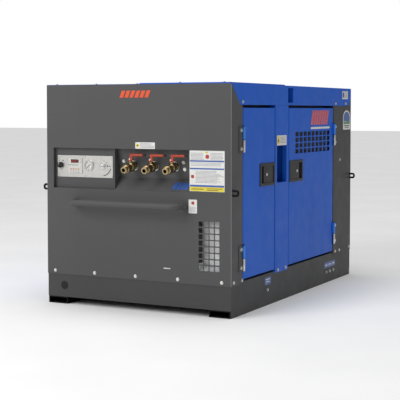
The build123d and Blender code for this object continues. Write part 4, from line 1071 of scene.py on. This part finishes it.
def make_engine_fittings():
    """Filters, injection pump and pipes, starter, battery terminals and head bolts."""
    can = [(0, 0), (30, 0), (37, 6), (38, 12), (38, 96), (34, 102), (30, 104), (0, 104)]
    fitting("oil_filter", turned(can), ORANGE_PAINT, upright(186, 930, 336))
    mount = rounded_plate(60, 60, 6, 30, 2)
    piece("oil_filter_mount", mount, CAST, "enclosure", upright(172, 930, 440))
    bowl = [(0, 0), (22, 0), (29, 8), (30, 20), (30, 60), (33, 62), (33, 74), (0, 74)]
    fitting("fuel_filter", turned(bowl), FUEL_WHITE, upright(184, 1032, 400))
    castings = (
        ("fuel_filter_head", rounded_plate(76, 56, 10, 18, 2), upright(172, 1032, 474)),
        ("injection_pump", rounded_plate(52, 130, 8, 70, 4), upright(168, 1010, 496)),
    )
    for name, casting_shape, place in castings:
        piece(name, casting_shape, CAST_ALLOY, "enclosure", place)
    for number in range(4):
        start = 962 + number * 32  # depth at the pump
        end = 830 + number * 90  # depth at the cylinder
        points = [(176, start, 560), (178, start, 590), (150, (start + end) / 2, 668)]
        points += [(100, end, 672), (82, end, 660)]
        pipe = hose(points, 3.2, 0.0, 5.0, 12)
        fitting(f"injector_pipe_{number + 1}", pipe, MACHINED)
    lay_back = Matrix.Rotation(math.radians(-90), 4, "X")
    motor = turned([(0, 0), (30, 0), (40, 5), (42, 12), (42, 120), (36, 130), (0, 132)])
    fitting("starter_motor", motor, CAST, upright(-186, 768, 330) @ lay_back)
    solenoid = turned([(0, 0), (20, 0), (24, 4), (24, 78), (20, 82), (0, 82)])
    fitting("starter_solenoid", solenoid, BLACK, upright(-196, 772, 392) @ lay_back)
    cap = [(0, 0), (10, 0), (11, 3), (11, 12), (9, 15), (0, 16)]
    for name, depth, material in (
        ("red_terminal", 795, RED_VINYL), ("black_terminal", 975, BLACK_PLASTIC)
    ):
        fitting(name, turned(cap, 28), material, upright(-440, depth, 278))
    bolt = [(0, 0), (7.5, 0), (7.5, 5), (6.5, 6), (0, 6.2)]
    for number in range(6):
        for row, x in enumerate((-92, 92), start=1):
            place = upright(x, 800 + number * 60, 650)
            fitting(f"head_bolt_{number + 1}_{row}", turned(bolt, 6), ZINC, place)


def make_airend_details():
    """Relief valve, flange bolts and bands on the receiver."""
    valve = [(0, 0), (12, 0), (12, 14), (9, 18), (9, 34), (5, 40), (0, 41)]
    fitting("relief_valve", turned(valve, 28), BRASS, upright(380, 330, 644))
    stud = [(0, 0), (8, 0), (8, 7), (7, 8), (0, 8.2)]
    for number, place in enumerate(on_circle(TANK, 66, 8, 645), start=1):
        fitting(f"flange_bolt_{number}", turned(stud, 6), ZINC, place)
    band = tube_wall([(135.2, 0), (137.2, 0), (137.2, 32), (135.2, 32)], 72)
    for number, z in enumerate((210, 500), start=1):
        fitting(f"tank_band_{number}", band, GALVANISED, upright(*TANK, z))


def seal(sign, near, far):
    """Rubber frame inside a door opening, from the jamb's face inwards."""
    def build(work):
        outer = [(near + 6, 176), (far - 6, 176), (far - 6, 981), (near + 6, 981)]
        inner = [(near + 17, 187), (far - 17, 187), (far - 17, 970), (near + 17, 970)]
        face, back = (sign * (SIDE - inset * MM) for inset in (27, 34))
        loops = []
        for outline, x in ((outer, face), (inner, face), (inner, back), (outer, back)):
            loops.append([work.verts.new((x, y_at(y), z * MM)) for y, z in outline])
        walls(work, loops + loops[:1])
    return build


def make_seals():
    """Rubber seals round the door openings, on the jambs."""
    for side, sign in SIGNS.items():
        for door, (near, far) in DOOR_EDGES.items():
            name = f"{door}_seal_{side}"
            piece(name, seal(sign, near, far), RUBBER, "enclosure")


# ---- camera, light and stage -----------------------------------------------------------
def make_camera():
    """The photo's view."""
    data = bpy.data.cameras.new("camera")
    data.lens = 100.3
    data.sensor_width = 36.0
    data.shift_y = -0.085
    data.clip_end = 120.0
    camera = bpy.data.objects.new("camera", data)
    camera.location = (2.7445, FRONT - 4.653, 0.9746)
    camera.rotation_euler = (math.radians(90 - 2.865), 0, math.radians(27.20))
    bpy.context.scene.collection.objects.link(camera)
    bpy.context.scene.camera = camera


def area_light(name, place, target, size, power):
    """A soft lamp at a place, aimed at a target, in metres."""
    data = bpy.data.lights.new(name, "AREA")
    data.shape = "RECTANGLE"
    data.size, data.size_y = size
    data.energy = power
    light = bpy.data.objects.new(name, data)
    light.location = place
    aim = Vector(target) - Vector(place)
    light.rotation_euler = aim.to_track_quat("-Z", "Y").to_euler()
    bpy.context.scene.collection.objects.link(light)


def make_stage():
    """Pale floor, white surroundings as the camera sees them, and the lights."""
    mesh = bpy.data.meshes.new("floor")
    work = bmesh.new()
    slab(work, [(-45, -45), (45, -45), (45, 45), (-45, 45)], -0.02, 0.0)
    work.to_mesh(mesh)
    work.free()
    floor = bpy.data.objects.new("floor", mesh)
    surface = Surface("pale_floor")
    tone = surface.spots(1.5, 3.0, 0.0, 1.0)
    surface.colour(surface.mix(tone, (0.86, 0.86, 0.86, 1), (0.9, 0.9, 0.9, 1)))
    surface.shader.inputs["Roughness"].default_value = 0.9
    mesh.materials.append(surface.material)
    bpy.context.scene.collection.objects.link(floor)

    world = bpy.data.worlds.new("studio")
    world.use_nodes = True
    nodes = world.node_tree.nodes
    links = world.node_tree.links
    soft = nodes["Background"]
    soft.inputs["Color"].default_value = (1.0, 1.0, 1.0, 1.0)
    soft.inputs["Strength"].default_value = 0.24
    white = nodes.new("ShaderNodeBackground")
    white.inputs["Color"].default_value = (1.0, 1.0, 1.0, 1.0)
    seen = nodes.new("ShaderNodeMixShader")
    links.new(nodes.new("ShaderNodeLightPath").outputs["Is Camera Ray"], seen.inputs["Fac"])
    links.new(soft.outputs["Background"], seen.inputs[1])
    links.new(white.outputs["Background"], seen.inputs[2])
    links.new(seen.outputs["Shader"], nodes["World Output"].inputs["Surface"])
    bpy.context.scene.world = world
    bpy.context.scene.view_settings.view_transform = "Standard"
    area_light("key", (-2.2, -5.6, 3.6), (0, -0.3, 0.5), (3.5, 3.5), 205)
    area_light("side", (5.0, -1.6, 3.6), (0.3, 0, 0.6), (3.0, 2.5), 4)
    data = bpy.data.lights.new("overhead", "SUN")
    data.energy = 1.75
    data.angle = math.radians(50)
    overhead = bpy.data.objects.new("overhead", data)
    overhead.location = (0, 0, 6)
    bpy.context.scene.collection.objects.link(overhead)


make_camera()
make_stage()
dress_cad_nodes()
make_front_labels()
make_corner_highlights()
make_side_labels()
make_display()
make_gauge()
make_switches()
make_lever_details()
make_pocket_shade()
make_front_plug()
make_intake_screen()
make_latch_details()
make_hinge_sleeves()
make_door_linings()
make_rear_details()
make_roof_details()
make_radiator_fins()
make_hoses()
make_engine_fittings()
make_airend_details()
make_seals()
